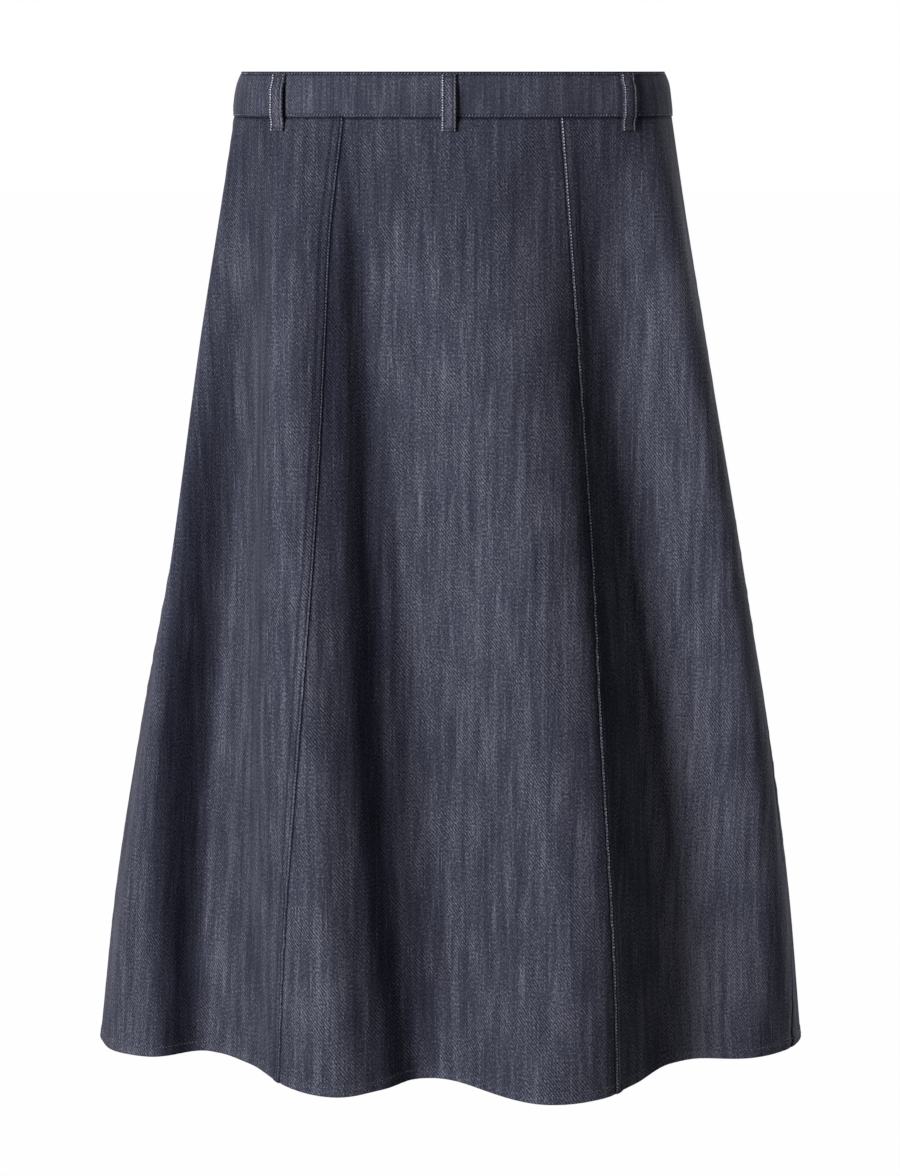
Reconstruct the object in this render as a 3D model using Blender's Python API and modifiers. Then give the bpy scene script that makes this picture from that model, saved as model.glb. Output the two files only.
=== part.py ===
"""Flared denim midi skirt of six gores, filled out as if worn, with a concealed side zip.

Blender 4.5, metres, +Z up. The wearer faces +Y, so the back of the skirt faces -Y and the
wearer's right side is at +X. The origin is the middle of the waist opening, half way up the
waistband. Two measures place everything on the cloth:

drop  metres straight down from the waistband's top edge
turn  degrees round the girth from the middle of the back, growing towards the wearer's right
"""

import math
from enum import Enum
from typing import NamedTuple

import bmesh
import bpy
import numpy as np

MM = 0.001

# Driving dimensions, in metres and degrees.
LENGTH = 0.754              # top edge to hem, plumb
BAND_HEIGHT = 0.034
WALL = 1.5 * MM             # one layer of cloth with its neatened edges
SEAM_GAP = 0.3 * MM         # between pieces that are sewn together
HEM_HEIGHT = 8 * MM         # the turned-up edge
HEM_WALL = 2.6 * MM
HEM_PROUD = 0.25 * MM       # how far the turn-up presses the outside out
HEM_STEP = 1 * MM           # height over which it does so
LAP_WIDTH = 9 * MM          # seam allowances pressed under a side gore and stitched twice
LAP_PROUD = 0.8 * MM
LAP_SLOPE = 1.5 * MM        # width over which the lap falls back to a single layer

GORE_ROWS = 17
CENTRE_COLUMNS = 17
SIDE_COLUMNS = 12

# Three heights where a fold's place is given.
HIGH_DROP = 0.10
MIDDLE_DROP = 0.40

ZIP_TURN = 104.0
ZIP_GAP = 1.6 * MM          # between the waistband's two ends
ZIP_ROWS = 5                # rows of a gore, down from the waistband, that the zip runs along
TAPE_HALF_WIDTH = 11 * MM
TAPE_WALL = 0.8 * MM
CHAIN_HALF_WIDTH = 2.2 * MM
CHAIN_SLOPE = 1.2 * MM      # width over which the chain falls back to the tape
CHAIN_WALL = 2.2 * MM
CHAIN_TOP_DROP = 15.3 * MM  # just under the slider
TAPE_BAND_ROWS = 4          # rows of the tapes behind the waistband
TAPE_JOG = 4 * MM           # height over which they come forward to the gores

TWILL_NAVY = (0.045, 0.047, 0.069)
LACQUERED_NAVY = (0.020, 0.021, 0.034)
TAPE_NAVY = (0.016, 0.017, 0.028)


class Section(NamedTuple):
    """Half sizes of the oval that the cloth hangs round at one height, and how far it hangs aside."""
    drop: float
    width: float
    back: float
    front: float
    aside: float            # of the oval's middle, towards +X


SECTIONS = (
    Section(0.034, 0.1668, 0.0795, 0.0775, 0.0),
    Section(0.100, 0.1761, 0.0890, 0.0870, 0.0008),
    Section(0.200, 0.1922, 0.1000, 0.0980, 0.0017),
    Section(0.350, 0.2168, 0.1120, 0.1100, 0.0028),
    Section(0.500, 0.2438, 0.1200, 0.1180, 0.0011),
    Section(0.630, 0.2636, 0.1260, 0.1240, -0.0005),
    Section(0.754, 0.2765, 0.1300, 0.1300, -0.0018),
)


class Fold(NamedTuple):
    """A ridge (out above 0) or valley that runs down the skirt and deepens from the waist."""
    name: str
    high: float             # turn at HIGH_DROP
    middle: float           # turn at MIDDLE_DROP
    hem: float              # turn at the hem
    out_middle: float       # metres at MIDDLE_DROP
    out_hem: float          # metres at the hem
    reach_before: float     # degrees to its foot, towards smaller turns
    reach_after: float      # degrees to its foot, towards larger turns


FOLDS = (
    Fold("back far left ridge", -80, -69, -69, 0.010, 0.004, 13, 10),
    Fold("back left valley", -66, -57, -47, -0.032, -0.041, 15, 23),
    Fold("back left ridge", -42, -28, -16.5, 0.040, 0.055, 19, 13),
    Fold("back middle valley", -22, -9, 3, -0.024, -0.012, 11, 21),
    Fold("back right ridge", 2, 15, 13.5, 0.034, 0.079, 18, 26),
    Fold("back right valley", 40, 42, 46, -0.034, -0.022, 20, 19),
    Fold("back far right ridge", 64, 62, 67, 0.023, 0.002, 17, 18),
    Fold("front right valley", 116, 118, 121, -0.018, -0.026, 20, 20),
    Fold("front right ridge", 144, 144, 147, 0.026, 0.046, 20, 22),
    Fold("front middle valley", 178, 175, 172, -0.020, -0.014, 18, 18),
    Fold("front left ridge", 206, 208, 205, 0.030, 0.052, 22, 20),
    Fold("front left valley", 240, 238, 240, -0.022, -0.028, 20, 22),
)


class Seam(NamedTuple):
    """A seam's turn at six heights, SEAM_DROPS."""
    name: str
    waist: float
    high: float
    hip: float
    thigh: float
    knee: float
    hem: float


SEAM_DROPS = (BAND_HEIGHT, 0.10, 0.20, 0.32, 0.45, LENGTH)

SEAMS = (
    Seam("back left", -29.3, -30.8, -29.4, -27.3, -25.7, -26.5),
    Seam("back right", 28.6, 29.0, 28.9, 27.3, 25.0, 24.0),
    Seam("side right", ZIP_TURN, 101.6, 98.0, 93.4, 88.0, 73.0),
    Seam("front right", 151.0, 151.4, 152.0, 152.9, 154.0, 157.0),
    Seam("front left", 209.0, 208.6, 208.0, 207.1, 206.0, 204.0),
    Seam("side left", 263.0, 263.4, 264.0, 264.7, 265.0, 263.0),
    Seam("back left", 330.7, 329.2, 330.6, 332.7, 334.3, 333.5),
)


class Edge(Enum):
    """How a gore meets the next one."""
    UNDER = "plain, under the next gore's lap"
    LAPPED = "raised by the seam allowances beneath it"
    ZIPPED = "plain, with the zip's tape behind it"
    SIDE = "plain, at a side seam"


# Distances from the seam of the columns that each edge needs.
EDGE_COLUMNS = {
    Edge.UNDER: (SEAM_GAP / 2,),
    Edge.LAPPED: (SEAM_GAP / 2, LAP_WIDTH, LAP_WIDTH + LAP_SLOPE),
    Edge.ZIPPED: (SEAM_GAP / 2, CHAIN_HALF_WIDTH, CHAIN_HALF_WIDTH + CHAIN_SLOPE, TAPE_HALF_WIDTH),
    Edge.SIDE: (SEAM_GAP / 2,),
}


class Gore(NamedTuple):
    """A panel between SEAMS[seam] and the next seam."""
    name: str
    seam: int
    columns: int
    first_edge: Edge
    last_edge: Edge


GORES = (
    Gore("back_centre_gore", 0, CENTRE_COLUMNS, Edge.UNDER, Edge.UNDER),
    Gore("back_right_gore", 1, SIDE_COLUMNS, Edge.LAPPED, Edge.ZIPPED),
    Gore("front_right_gore", 2, SIDE_COLUMNS, Edge.ZIPPED, Edge.LAPPED),
    Gore("front_centre_gore", 3, CENTRE_COLUMNS, Edge.UNDER, Edge.UNDER),
    Gore("front_left_gore", 4, SIDE_COLUMNS, Edge.LAPPED, Edge.SIDE),
    Gore("back_left_gore", 5, SIDE_COLUMNS, Edge.SIDE, Edge.LAPPED),
)


class BandRow(NamedTuple):
    """The waistband's cross-section: how far its outside leans at the sides, and its wall."""
    drop: float
    lean: float
    wall: float


BAND_ROWS = (
    BandRow(0.0000, -6.9 * MM, 1.0 * MM),
    BandRow(0.0014, -6.0 * MM, 2.4 * MM),
    BandRow(0.0080, -3.2 * MM, 2.4 * MM),
    BandRow(0.0140, -1.8 * MM, 2.4 * MM),
    BandRow(0.0200, -0.9 * MM, 2.4 * MM),
    BandRow(0.0270, -0.1 * MM, 2.4 * MM),
    BandRow(BAND_HEIGHT - SEAM_GAP, 0.0, 2.4 * MM),
)
BAND_PROUD = 0.7 * MM       # the waistband's seam edge stands out over the gores
BAND_COLUMNS = 88


class BeltLoop(NamedTuple):
    """Where a belt loop crosses the waistband."""
    name: str
    turn: float


BELT_LOOPS = (
    BeltLoop("belt_loop_back_left", -51.0),
    BeltLoop("belt_loop_back_centre", -1.1),
    BeltLoop("belt_loop_back_right", 51.0),
    BeltLoop("belt_loop_front_right", 137.0),
    BeltLoop("belt_loop_front_left", 223.0),
)
LOOP_WIDTH = 11 * MM
LOOP_WALL = 3 * MM          # folded in three
LOOP_TOP_DROP = 1.8 * MM
LOOP_FOOT_DROP = 44 * MM
LOOP_BOW = 2.4 * MM         # room behind the loop for a thin belt
LOOP_TACK = 3.5 * MM        # height that is sewn flat at each end
LOOP_RISE = 9 * MM          # height over which it bows out
LOOP_ROUND = 0.5 * MM
LOOP_ROWS = 15
LOOP_SPAN = 1 * MM          # how far above and below a row the cloth behind it is read

SLIDER_TOP_DROP = 5.5 * MM
SLIDER_HEIGHT = 8 * MM
SLIDER_WIDTH = 6.5 * MM
SLIDER_THICKNESS = 2.6 * MM
SLIDER_DEPTH = 3.1 * MM     # from the waistband's outside to the block's face
SLIDER_ROUND = 0.7 * MM
SLIDER_SPAN = 3 * MM        # half the height over which the slider takes the waistband's lean
BAIL_RADIUS = 1.7 * MM      # the half ring that the pull tab rides on
BAIL_WIRE = 0.4 * MM        # its wire's radius
BAIL_STANDOFF = 1.0 * MM    # from the waistband's outside to the bail's centre
BAIL_SINK = 0.5 * MM        # how deep the bail's feet go into the block
BAIL_STEPS = 13
TAB_EYE = 0.8 * MM
TAB_NECK = 1.6 * MM
TAB_END = 2.3 * MM
TAB_LENGTH = 16 * MM        # eye to the centre of the round end
TAB_THICKNESS = 0.8 * MM
TAB_TILT = 12.0             # degrees off plumb, where it lies along the waistband

NUDGE = 0.05                # degrees, for reading a section's direction
ARC_STEPS = 10


def clear_scene():
    """Remove what the startup file holds."""
    for thing in list(bpy.data.objects):
        bpy.data.objects.remove(thing, do_unlink=True)


def collection(name):
    """A collection linked to the scene."""
    made = bpy.data.collections.new(name)
    bpy.context.scene.collection.children.link(made)
    return made


def finish(name, colour, roughness, metallic=0.0):
    """A plain surface finish."""
    material = bpy.data.materials.new(name)
    material.use_nodes = True
    shader = material.node_tree.nodes["Principled BSDF"]
    shader.inputs["Base Color"].default_value = (*colour, 1.0)
    shader.inputs["Roughness"].default_value = roughness
    shader.inputs["Metallic"].default_value = metallic
    return material


def smooth(at, values, drop):
    """A value at one height, on a cubic through a short table."""
    at, values = np.asarray(at), np.asarray(values)
    slopes = np.gradient(values, at)
    i = int(np.clip(np.searchsorted(at, drop) - 1, 0, len(at) - 2))
    step = at[i + 1] - at[i]
    f = (drop - at[i]) / step
    return (
        (1 + 2 * f) * (1 - f) ** 2 * values[i]
        + f * (1 - f) ** 2 * step * slopes[i]
        + f * f * (3 - 2 * f) * values[i + 1]
        + f * f * (f - 1) * step * slopes[i + 1]
    )


def through(heights, values, drop):
    """The parabola through three values, read at one height."""
    total = 0.0
    for i, value in enumerate(values):
        others = [height for j, height in enumerate(heights) if j != i]
        total += value * math.prod((drop - height) / (heights[i] - height) for height in others)
    return total


def fold_lift(fold, drop, turn):
    """How far one fold moves the cloth out, at each turn."""
    centre = through((HIGH_DROP, MIDDLE_DROP, LENGTH), (fold.high, fold.middle, fold.hem), drop)
    out = through((BAND_HEIGHT, MIDDLE_DROP, LENGTH), (0.0, fold.out_middle, fold.out_hem), drop)
    away = (turn - centre + 180) % 360 - 180
    share = np.abs(away) / np.where(away < 0, fold.reach_before, fold.reach_after)
    return out * np.where(share < 1, 0.5 + 0.5 * np.cos(np.pi * share), 0.0)


def oval(width, back, front, turn):
    """Points of an oval in plan and its outward directions."""
    angle = np.radians(turn)
    depth = np.where(np.cos(angle) > 0, back, front)
    points = np.stack([width * np.sin(angle), -depth * np.cos(angle)], axis=-1)
    outward = np.stack([depth * np.sin(angle), -width * np.cos(angle)], axis=-1)
    return points, outward / np.linalg.norm(outward, axis=-1, keepdims=True)


def cloth_plan(drop, turn):
    """The cloth's outside in plan at one height: the oval with its folds."""
    drops, *sizes = np.array(SECTIONS).T
    width, back, front, aside = (smooth(drops, size, drop) for size in sizes)
    points, outward = oval(width, back, front, turn)
    lift = sum(fold_lift(fold, drop, turn) for fold in FOLDS)
    return points + outward * lift[..., None] + np.array([aside, 0.0])


def lean_share(turn):
    """How much of its lean the waistband has: all at the sides, none at the back and front."""
    return np.sin(np.radians(turn)) ** 4


def band_plan(lean, turn):
    """The waistband's outside in plan, leaning in at the sides from its seam edge."""
    seam = SECTIONS[0]
    points, outward = oval(
        seam.width + BAND_PROUD, seam.back + BAND_PROUD, seam.front + BAND_PROUD, turn
    )
    return points + outward * (lean * lean_share(turn))[..., None]


def offset(plan, turn, out):
    """Points moved out from a plan curve, square to the curve itself."""
    run = plan(turn + NUDGE) - plan(turn - NUDGE)
    outward = np.stack([run[..., 1], -run[..., 0]], axis=-1)
    outward /= np.linalg.norm(outward, axis=-1, keepdims=True)
    return plan(turn) + outward * np.asarray(out)[..., None]


def at_drop(plan_points, drop):
    """Plan points raised to their height."""
    height = np.full(plan_points.shape[:-1] + (1,), BAND_HEIGHT / 2 - drop)
    return np.concatenate([plan_points, height], axis=-1)


def cloth_row(drop, turn, out):
    """One row of points on the gores' outside, or moved out from it."""
    return at_drop(offset(lambda t: cloth_plan(drop, t), turn, out), drop)


def band_lean(drop):
    """The waistband's lean at a height between its rows."""
    return float(np.interp(drop, [row.drop for row in BAND_ROWS], [row.lean for row in BAND_ROWS]))


def band_row(drop, turn, out):
    """One row of points on the waistband's outside, or moved out from it."""
    lean = band_lean(drop)
    return at_drop(offset(lambda t: band_plan(lean, t), turn, out), drop)


def wall_mesh(name, outer, inner):
    """A closed wall between two grids of points, rows going down and columns by turn."""
    rows, columns = outer.shape[:2]
    count = rows * columns
    grid = np.arange(count).reshape(rows, columns)
    faces = []
    for row in range(rows - 1):
        for column in range(columns - 1):
            a, b = grid[row, column], grid[row, column + 1]
            d, c = grid[row + 1, column], grid[row + 1, column + 1]
            faces.append((a, d, c, b))
            faces.append((a + count, b + count, c + count, d + count))
    border = [*grid[0, :], *grid[1:, -1], *grid[-1, -2::-1], *grid[-2:0:-1, 0]]
    for here, after in zip(border, border[1:] + border[:1]):
        faces.append((here, after, after + count, here + count))
    mesh = bpy.data.meshes.new(name)
    points = np.concatenate([outer.reshape(-1, 3), inner.reshape(-1, 3)])
    mesh.from_pydata(points.tolist(), [], [tuple(int(i) for i in face) for face in faces])
    mesh.shade_smooth()
    mesh.set_sharp_from_angle(angle=math.radians(40))
    return mesh


def add_object(name, data, material, group):
    """An object with its own material, in its collection."""
    made = bpy.data.objects.new(name, data)
    data.materials.append(material)
    group.objects.link(made)
    return made


def seam_turn(seam, drop):
    """A seam's turn at one height."""
    return smooth(SEAM_DROPS, seam[1:], drop)


def gore_turns(gore, drop):
    """A gore's columns at one height: close together at its edges, then evenly spread."""
    first, last = seam_turn(SEAMS[gore.seam], drop), seam_turn(SEAMS[gore.seam + 1], drop)
    fine = np.linspace(first, last, 240)
    steps = np.linalg.norm(np.diff(cloth_plan(drop, fine), axis=0), axis=1)
    length = np.concatenate([[0.0], np.cumsum(steps)])
    before = EDGE_COLUMNS[gore.first_edge]
    after = [length[-1] - place for place in reversed(EDGE_COLUMNS[gore.last_edge])]
    between = np.linspace(before[-1], after[0], gore.columns)
    return np.interp([*before, *between[1:-1], *after], length, fine)


def gore_drops():
    """The heights of a gore's rows: one just below the belt loops' feet, and two for its hem."""
    hem_top = LENGTH - HEM_HEIGHT
    even = np.linspace(BAND_HEIGHT, hem_top - HEM_STEP, GORE_ROWS)
    return [even[0], LOOP_FOOT_DROP + LOOP_SPAN, *even[1:], hem_top, LENGTH]


def gore_mesh(gore):
    """A gore's wall, with its lapped edges raised and its hem turned up."""
    outer, inner = [], []
    for drop in gore_drops():
        turn = gore_turns(gore, drop)
        in_hem = drop >= LENGTH - HEM_HEIGHT
        out = np.full(len(turn), HEM_PROUD if in_hem else 0.0)
        if gore.first_edge is Edge.LAPPED:
            out[:2] += LAP_PROUD
        if gore.last_edge is Edge.LAPPED:
            out[-2:] += LAP_PROUD
        behind = np.full(len(turn), HEM_PROUD - HEM_WALL if in_hem else -WALL)
        outer.append(cloth_row(drop, turn, out))
        inner.append(cloth_row(drop, turn, behind))
    return wall_mesh(gore.name, np.array(outer), np.array(inner))


def band_mesh():
    """The waistband: a ring cut open at the zip."""
    seam = SECTIONS[0]
    half_gap = math.degrees(ZIP_GAP / 2 / seam.back)
    turn = np.linspace(ZIP_TURN + half_gap, ZIP_TURN + 360 - half_gap, BAND_COLUMNS + 1)
    outer = [band_row(row.drop, turn, np.zeros(len(turn))) for row in BAND_ROWS]
    inner = [band_row(row.drop, turn, np.full(len(turn), -row.wall)) for row in BAND_ROWS]
    return wall_mesh("waistband", np.array(outer), np.array(inner))


def surface_row(drop, turn, out):
    """A row on whichever cloth is outermost at this height: the waistband or the gores."""
    return band_row(drop, turn, out) if drop < BAND_HEIGHT else cloth_row(drop, turn, out)


def loop_gap(drop):
    """The room between a belt loop and the cloth behind it."""
    from_end = min(drop - LOOP_TOP_DROP, LOOP_FOOT_DROP - drop)
    rise = np.clip((from_end - LOOP_TACK) / LOOP_RISE, 0, 1)
    return SEAM_GAP + LOOP_BOW * rise * rise * (3 - 2 * rise)


def loop_strip(place):
    """A belt loop's inside: a strip that follows the cloth and bows out between its ends."""
    centre = at_drop(band_plan(0.0, np.array(place.turn)), 0.0)
    side = band_plan(0.0, np.array(place.turn + NUDGE)) - band_plan(0.0, np.array(place.turn - NUDGE))
    side /= np.linalg.norm(side)
    outward = np.array([side[1], -side[0]])
    edges = np.array([-0.5, 0.0, 0.5]) * LOOP_WIDTH
    turn = place.turn + np.degrees(edges / np.linalg.norm(centre[:2]))
    grid = []
    for drop in np.linspace(LOOP_TOP_DROP, LOOP_FOOT_DROP, LOOP_ROWS):
        behind = [surface_row(drop + step, turn, np.zeros(3)) for step in (-LOOP_SPAN, 0.0, LOOP_SPAN)]
        stand = max(((row[:, :2] - centre[:2]) @ outward).max() for row in behind) + loop_gap(drop)
        plan = centre[:2] + outward * stand + side * edges[:, None]
        grid.append(at_drop(plan, drop))
    return np.array(grid)


def strip_mesh(name, grid):
    """An open sheet through a grid of points, facing outwards."""
    rows, columns = grid.shape[:2]
    index = np.arange(rows * columns).reshape(rows, columns)
    faces = [
        (index[r, c], index[r + 1, c], index[r + 1, c + 1], index[r, c + 1])
        for r in range(rows - 1) for c in range(columns - 1)
    ]
    mesh = bpy.data.meshes.new(name)
    mesh.from_pydata(grid.reshape(-1, 3).tolist(), [], [tuple(int(i) for i in face) for face in faces])
    mesh.shade_smooth()
    return mesh


def add_belt_loop(place, group):
    """A belt loop: a strip given its thickness outwards, with soft edges."""
    material = finish(f"{place.name}_denim", TWILL_NAVY, 0.85)
    loop = add_object(place.name, strip_mesh(place.name, loop_strip(place)), material, group)
    wall = loop.modifiers.new("Wall", "SOLIDIFY")
    wall.thickness = LOOP_WALL
    wall.offset = 1.0
    edge = loop.modifiers.new("Soft edges", "BEVEL")
    edge.width = LOOP_ROUND
    edge.segments = 1
    edge.limit_method = "ANGLE"
    edge.angle_limit = math.radians(50)


def tape_mesh():
    """The zip's two tapes and its closed chain, behind the waistband's gap and the side seam."""
    half = np.array([CHAIN_HALF_WIDTH, CHAIN_HALF_WIDTH + CHAIN_SLOPE, TAPE_HALF_WIDTH])
    walls = np.array([TAPE_WALL, TAPE_WALL, CHAIN_WALL, CHAIN_WALL, TAPE_WALL, TAPE_WALL])
    outer, inner = [], []
    for drop in np.linspace(CHAIN_TOP_DROP, BAND_HEIGHT, TAPE_BAND_ROWS):
        reach = np.degrees(half / SECTIONS[0].back)
        turn = ZIP_TURN + np.array([*-reach[::-1], *reach])
        behind = -BAND_ROWS[-1].wall - SEAM_GAP
        outer.append(band_row(drop, turn, np.full(len(turn), behind)))
        inner.append(band_row(drop, turn, behind - walls))
    columns = len(half)
    for drop in [BAND_HEIGHT + TAPE_JOG, *gore_drops()[1:ZIP_ROWS + 1]]:
        before = gore_turns(GORES[1], drop)[-columns - 1:-1]
        after = gore_turns(GORES[2], drop)[1:columns + 1]
        turn = np.array([*before, *after])
        outer.append(cloth_row(drop, turn, np.full(len(turn), -WALL - SEAM_GAP)))
        inner.append(cloth_row(drop, turn, -WALL - SEAM_GAP - walls))
    return wall_mesh("zip_tapes", np.array(outer), np.array(inner))


def zip_heading():
    """The direction, from +X towards +Y in radians, that the cloth faces at the zip."""
    _, outward = oval(SECTIONS[0].width, SECTIONS[0].back, SECTIONS[0].front, ZIP_TURN)
    return math.atan2(outward[1], outward[0])


def bail_centre():
    """The bail's centre, which is also where the pull tab swings."""
    middle = SLIDER_TOP_DROP + SLIDER_HEIGHT / 2
    return band_row(middle, np.array(ZIP_TURN), np.array(BAIL_STANDOFF)).tolist()


def slider_turn():
    """The slider's rotation: its X faces out at the zip, and its top leans in with the waistband."""
    middle = SLIDER_TOP_DROP + SLIDER_HEIGHT / 2
    rise = band_lean(middle + SLIDER_SPAN) - band_lean(middle - SLIDER_SPAN)
    return (0.0, -math.atan2(rise * lean_share(ZIP_TURN), 2 * SLIDER_SPAN), zip_heading())


def bail_mesh(helpers):
    """The bail: a wire that leaves the slider, arches over the pull tab's eye and goes back."""
    foot = BAIL_STANDOFF + SLIDER_DEPTH + BAIL_SINK
    arch = np.radians(np.linspace(-90, 90, BAIL_STEPS))
    path = [(-foot, -BAIL_RADIUS), *zip(BAIL_RADIUS * np.cos(arch), BAIL_RADIUS * np.sin(arch))]
    path.append((-foot, BAIL_RADIUS))
    curve = bpy.data.curves.new("bail", "CURVE")
    curve.dimensions = "3D"
    curve.bevel_depth = BAIL_WIRE
    curve.bevel_resolution = 2
    curve.use_fill_caps = True
    spline = curve.splines.new("POLY")
    spline.points.add(len(path) - 1)
    for point, (x, z) in zip(spline.points, path):
        point.co = (x, 0.0, z, 1.0)
    wire = bpy.data.objects.new("bail_wire", curve)
    helpers.objects.link(wire)
    bpy.context.view_layer.update()
    mesh = bpy.data.meshes.new_from_object(wire.evaluated_get(bpy.context.evaluated_depsgraph_get()))
    bpy.data.objects.remove(wire, do_unlink=True)
    welded = bmesh.new()
    welded.from_mesh(mesh)
    bmesh.ops.remove_doubles(welded, verts=welded.verts, dist=0.00001)
    welded.to_mesh(mesh)
    welded.free()
    return mesh


def add_slider(group, helpers):
    """The zip's slider: a small block inside the waistband with its bail through the gap."""
    block = bpy.data.meshes.new("zip_slider")
    shape = bmesh.new()
    bmesh.ops.create_cube(shape, size=1.0)
    bmesh.ops.scale(shape, verts=shape.verts, vec=(SLIDER_THICKNESS, SLIDER_WIDTH, SLIDER_HEIGHT))
    inwards = -BAIL_STANDOFF - SLIDER_DEPTH - SLIDER_THICKNESS / 2
    bmesh.ops.translate(shape, verts=shape.verts, vec=(inwards, 0.0, 0.0))
    bmesh.ops.bevel(
        shape, geom=shape.edges[:], offset=SLIDER_ROUND, segments=2, profile=0.5, affect="EDGES"
    )
    shape.to_mesh(block)
    shape.free()
    slider = add_object("zip_slider", block, finish("slider_lacquer", LACQUERED_NAVY, 0.45, 0.6), group)
    wire = bpy.data.objects.new("bail", bail_mesh(helpers))
    wire.hide_render = True
    wire.display_type = "WIRE"
    helpers.objects.link(wire)
    for thing in (slider, wire):
        thing.location = bail_centre()
        thing.rotation_euler = slider_turn()
    join = slider.modifiers.new("Bail", "BOOLEAN")
    join.operation = "UNION"
    join.solver = "EXACT"
    join.object = wire


def add_pull_tab(group):
    """The pull tab: a flat drop with an eye round the bail; its origin is the bail's centre."""
    curve = bpy.data.curves.new("zip_pull_tab", "CURVE")
    curve.dimensions = "2D"
    curve.fill_mode = "BOTH"
    curve.extrude = TAB_THICKNESS / 2
    eye_y, end_y = -BAIL_RADIUS, -BAIL_RADIUS - TAB_LENGTH
    top = [(TAB_NECK, eye_y, a) for a in np.linspace(0, 180, ARC_STEPS)]
    bottom = [(TAB_END, end_y, a) for a in np.linspace(180, 360, ARC_STEPS)]
    hole = [(TAB_EYE, eye_y, a) for a in np.linspace(360, 0, 2 * ARC_STEPS, endpoint=False)]
    for outline in (top + bottom, hole):
        spline = curve.splines.new("POLY")
        spline.points.add(len(outline) - 1)
        spline.use_cyclic_u = True
        for point, (radius, centre_y, angle) in zip(spline.points, outline):
            a = math.radians(angle)
            point.co = (radius * math.cos(a), centre_y + radius * math.sin(a), 0.0, 1.0)
    tab = add_object("zip_pull_tab", curve, finish("tab_lacquer", LACQUERED_NAVY, 0.4, 0.6), group)
    tab.location = bail_centre()
    tab.rotation_euler = (math.radians(90 - TAB_TILT), 0.0, zip_heading() + math.radians(90))


def main():
    """Build the skirt."""
    clear_scene()
    skirt = collection("denim_skirt")
    helpers = collection("cutters")
    for gore in GORES:
        add_object(gore.name, gore_mesh(gore), finish(f"{gore.name}_denim", TWILL_NAVY, 0.85), skirt)
    add_object("waistband", band_mesh(), finish("waistband_denim", TWILL_NAVY, 0.85), skirt)
    for place in BELT_LOOPS:
        add_belt_loop(place, skirt)
    add_object("zip_tapes", tape_mesh(), finish("zip_tape_cloth", TAPE_NAVY, 0.8), skirt)
    add_slider(skirt, helpers)
    add_pull_tab(skirt)


main()
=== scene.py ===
"""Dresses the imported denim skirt: cloth with its creases, sewing, belt loops, zip and studio.

Blender 4.5, metres, +Z up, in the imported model's frame. The back of the skirt faces -Y and the
wearer's right side, where the zip is, faces +X. Two measures place everything on the cloth:

drop  metres straight down from the waistband's top edge
turn  degrees round the girth from the middle of the back, growing towards the wearer's right
"""

import logging
import math
from collections.abc import Sequence
from dataclasses import dataclass, field
from enum import Enum
from typing import NamedTuple

import bmesh
import bpy
import numpy as np
from bpy.types import Material, Mesh, Node, NodeSocket, NodeTree, Object
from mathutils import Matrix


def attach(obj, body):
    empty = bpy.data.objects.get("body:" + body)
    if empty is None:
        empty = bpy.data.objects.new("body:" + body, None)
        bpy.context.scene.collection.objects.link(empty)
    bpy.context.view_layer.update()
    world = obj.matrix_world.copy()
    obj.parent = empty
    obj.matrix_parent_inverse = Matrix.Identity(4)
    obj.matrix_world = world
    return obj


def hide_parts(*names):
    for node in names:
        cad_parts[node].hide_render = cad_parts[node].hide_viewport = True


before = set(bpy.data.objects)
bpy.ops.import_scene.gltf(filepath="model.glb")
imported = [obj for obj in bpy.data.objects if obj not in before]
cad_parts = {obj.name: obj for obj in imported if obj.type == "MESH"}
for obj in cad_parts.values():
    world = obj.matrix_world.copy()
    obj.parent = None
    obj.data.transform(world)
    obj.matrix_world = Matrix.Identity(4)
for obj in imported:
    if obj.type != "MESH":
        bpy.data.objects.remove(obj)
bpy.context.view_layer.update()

Array = np.ndarray

MM = 0.001
SKIRT = "skirt"
PULL_TAB = "pull_tab"
ZIP_TURN = 104.0
ZIP_SEAM = 2
BAND_LAYER = 7.0  # the waistband's layer of the weave's noise; a gore's is its number
LOOP_LAYER = 9.0  # the first belt loop's layer
WAVE_PHASE = 20.0  # a wave texture's radians for each metre at a scale of 1

log = logging.getLogger("denim_skirt")


# The hanging form, from the same sizes as the solids ------------------------------------------


class Section(NamedTuple):
    """Half sizes of the oval that the cloth hangs round at one height."""

    drop: float
    width: float
    back: float
    front: float
    aside: float  # how far the oval's middle hangs towards +X


class Fold(NamedTuple):
    """A ridge (out above 0) or valley that runs down the whole skirt."""

    high: float  # turn at the high drop
    middle: float  # turn at the middle drop
    hem: float  # turn at the hem
    out_middle: float
    out_hem: float
    reach_before: float  # degrees to its foot, towards smaller turns
    reach_after: float


class Streak(NamedTuple):
    """A soft line that runs a part of the way down the cloth: a crease, or painted light or shade
    in its tone.
    """

    turn: float  # at its top end
    drop: float
    end_turn: float  # at its lower end
    end_drop: float
    reach: float  # millimetres from its line to its foot
    most: float  # at its middle: millimetres out for a crease, tone of painted light or shade for a fade


SECTIONS = (
    Section(0.034, 0.1668, 0.0795, 0.0775, 0.0),
    Section(0.100, 0.1761, 0.0890, 0.0870, 0.0008),
    Section(0.200, 0.1922, 0.1000, 0.0980, 0.0017),
    Section(0.350, 0.2168, 0.1120, 0.1100, 0.0028),
    Section(0.500, 0.2438, 0.1200, 0.1180, 0.0011),
    Section(0.630, 0.2636, 0.1260, 0.1240, -0.0005),
    Section(0.754, 0.2765, 0.1300, 0.1300, -0.0018),
)

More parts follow.
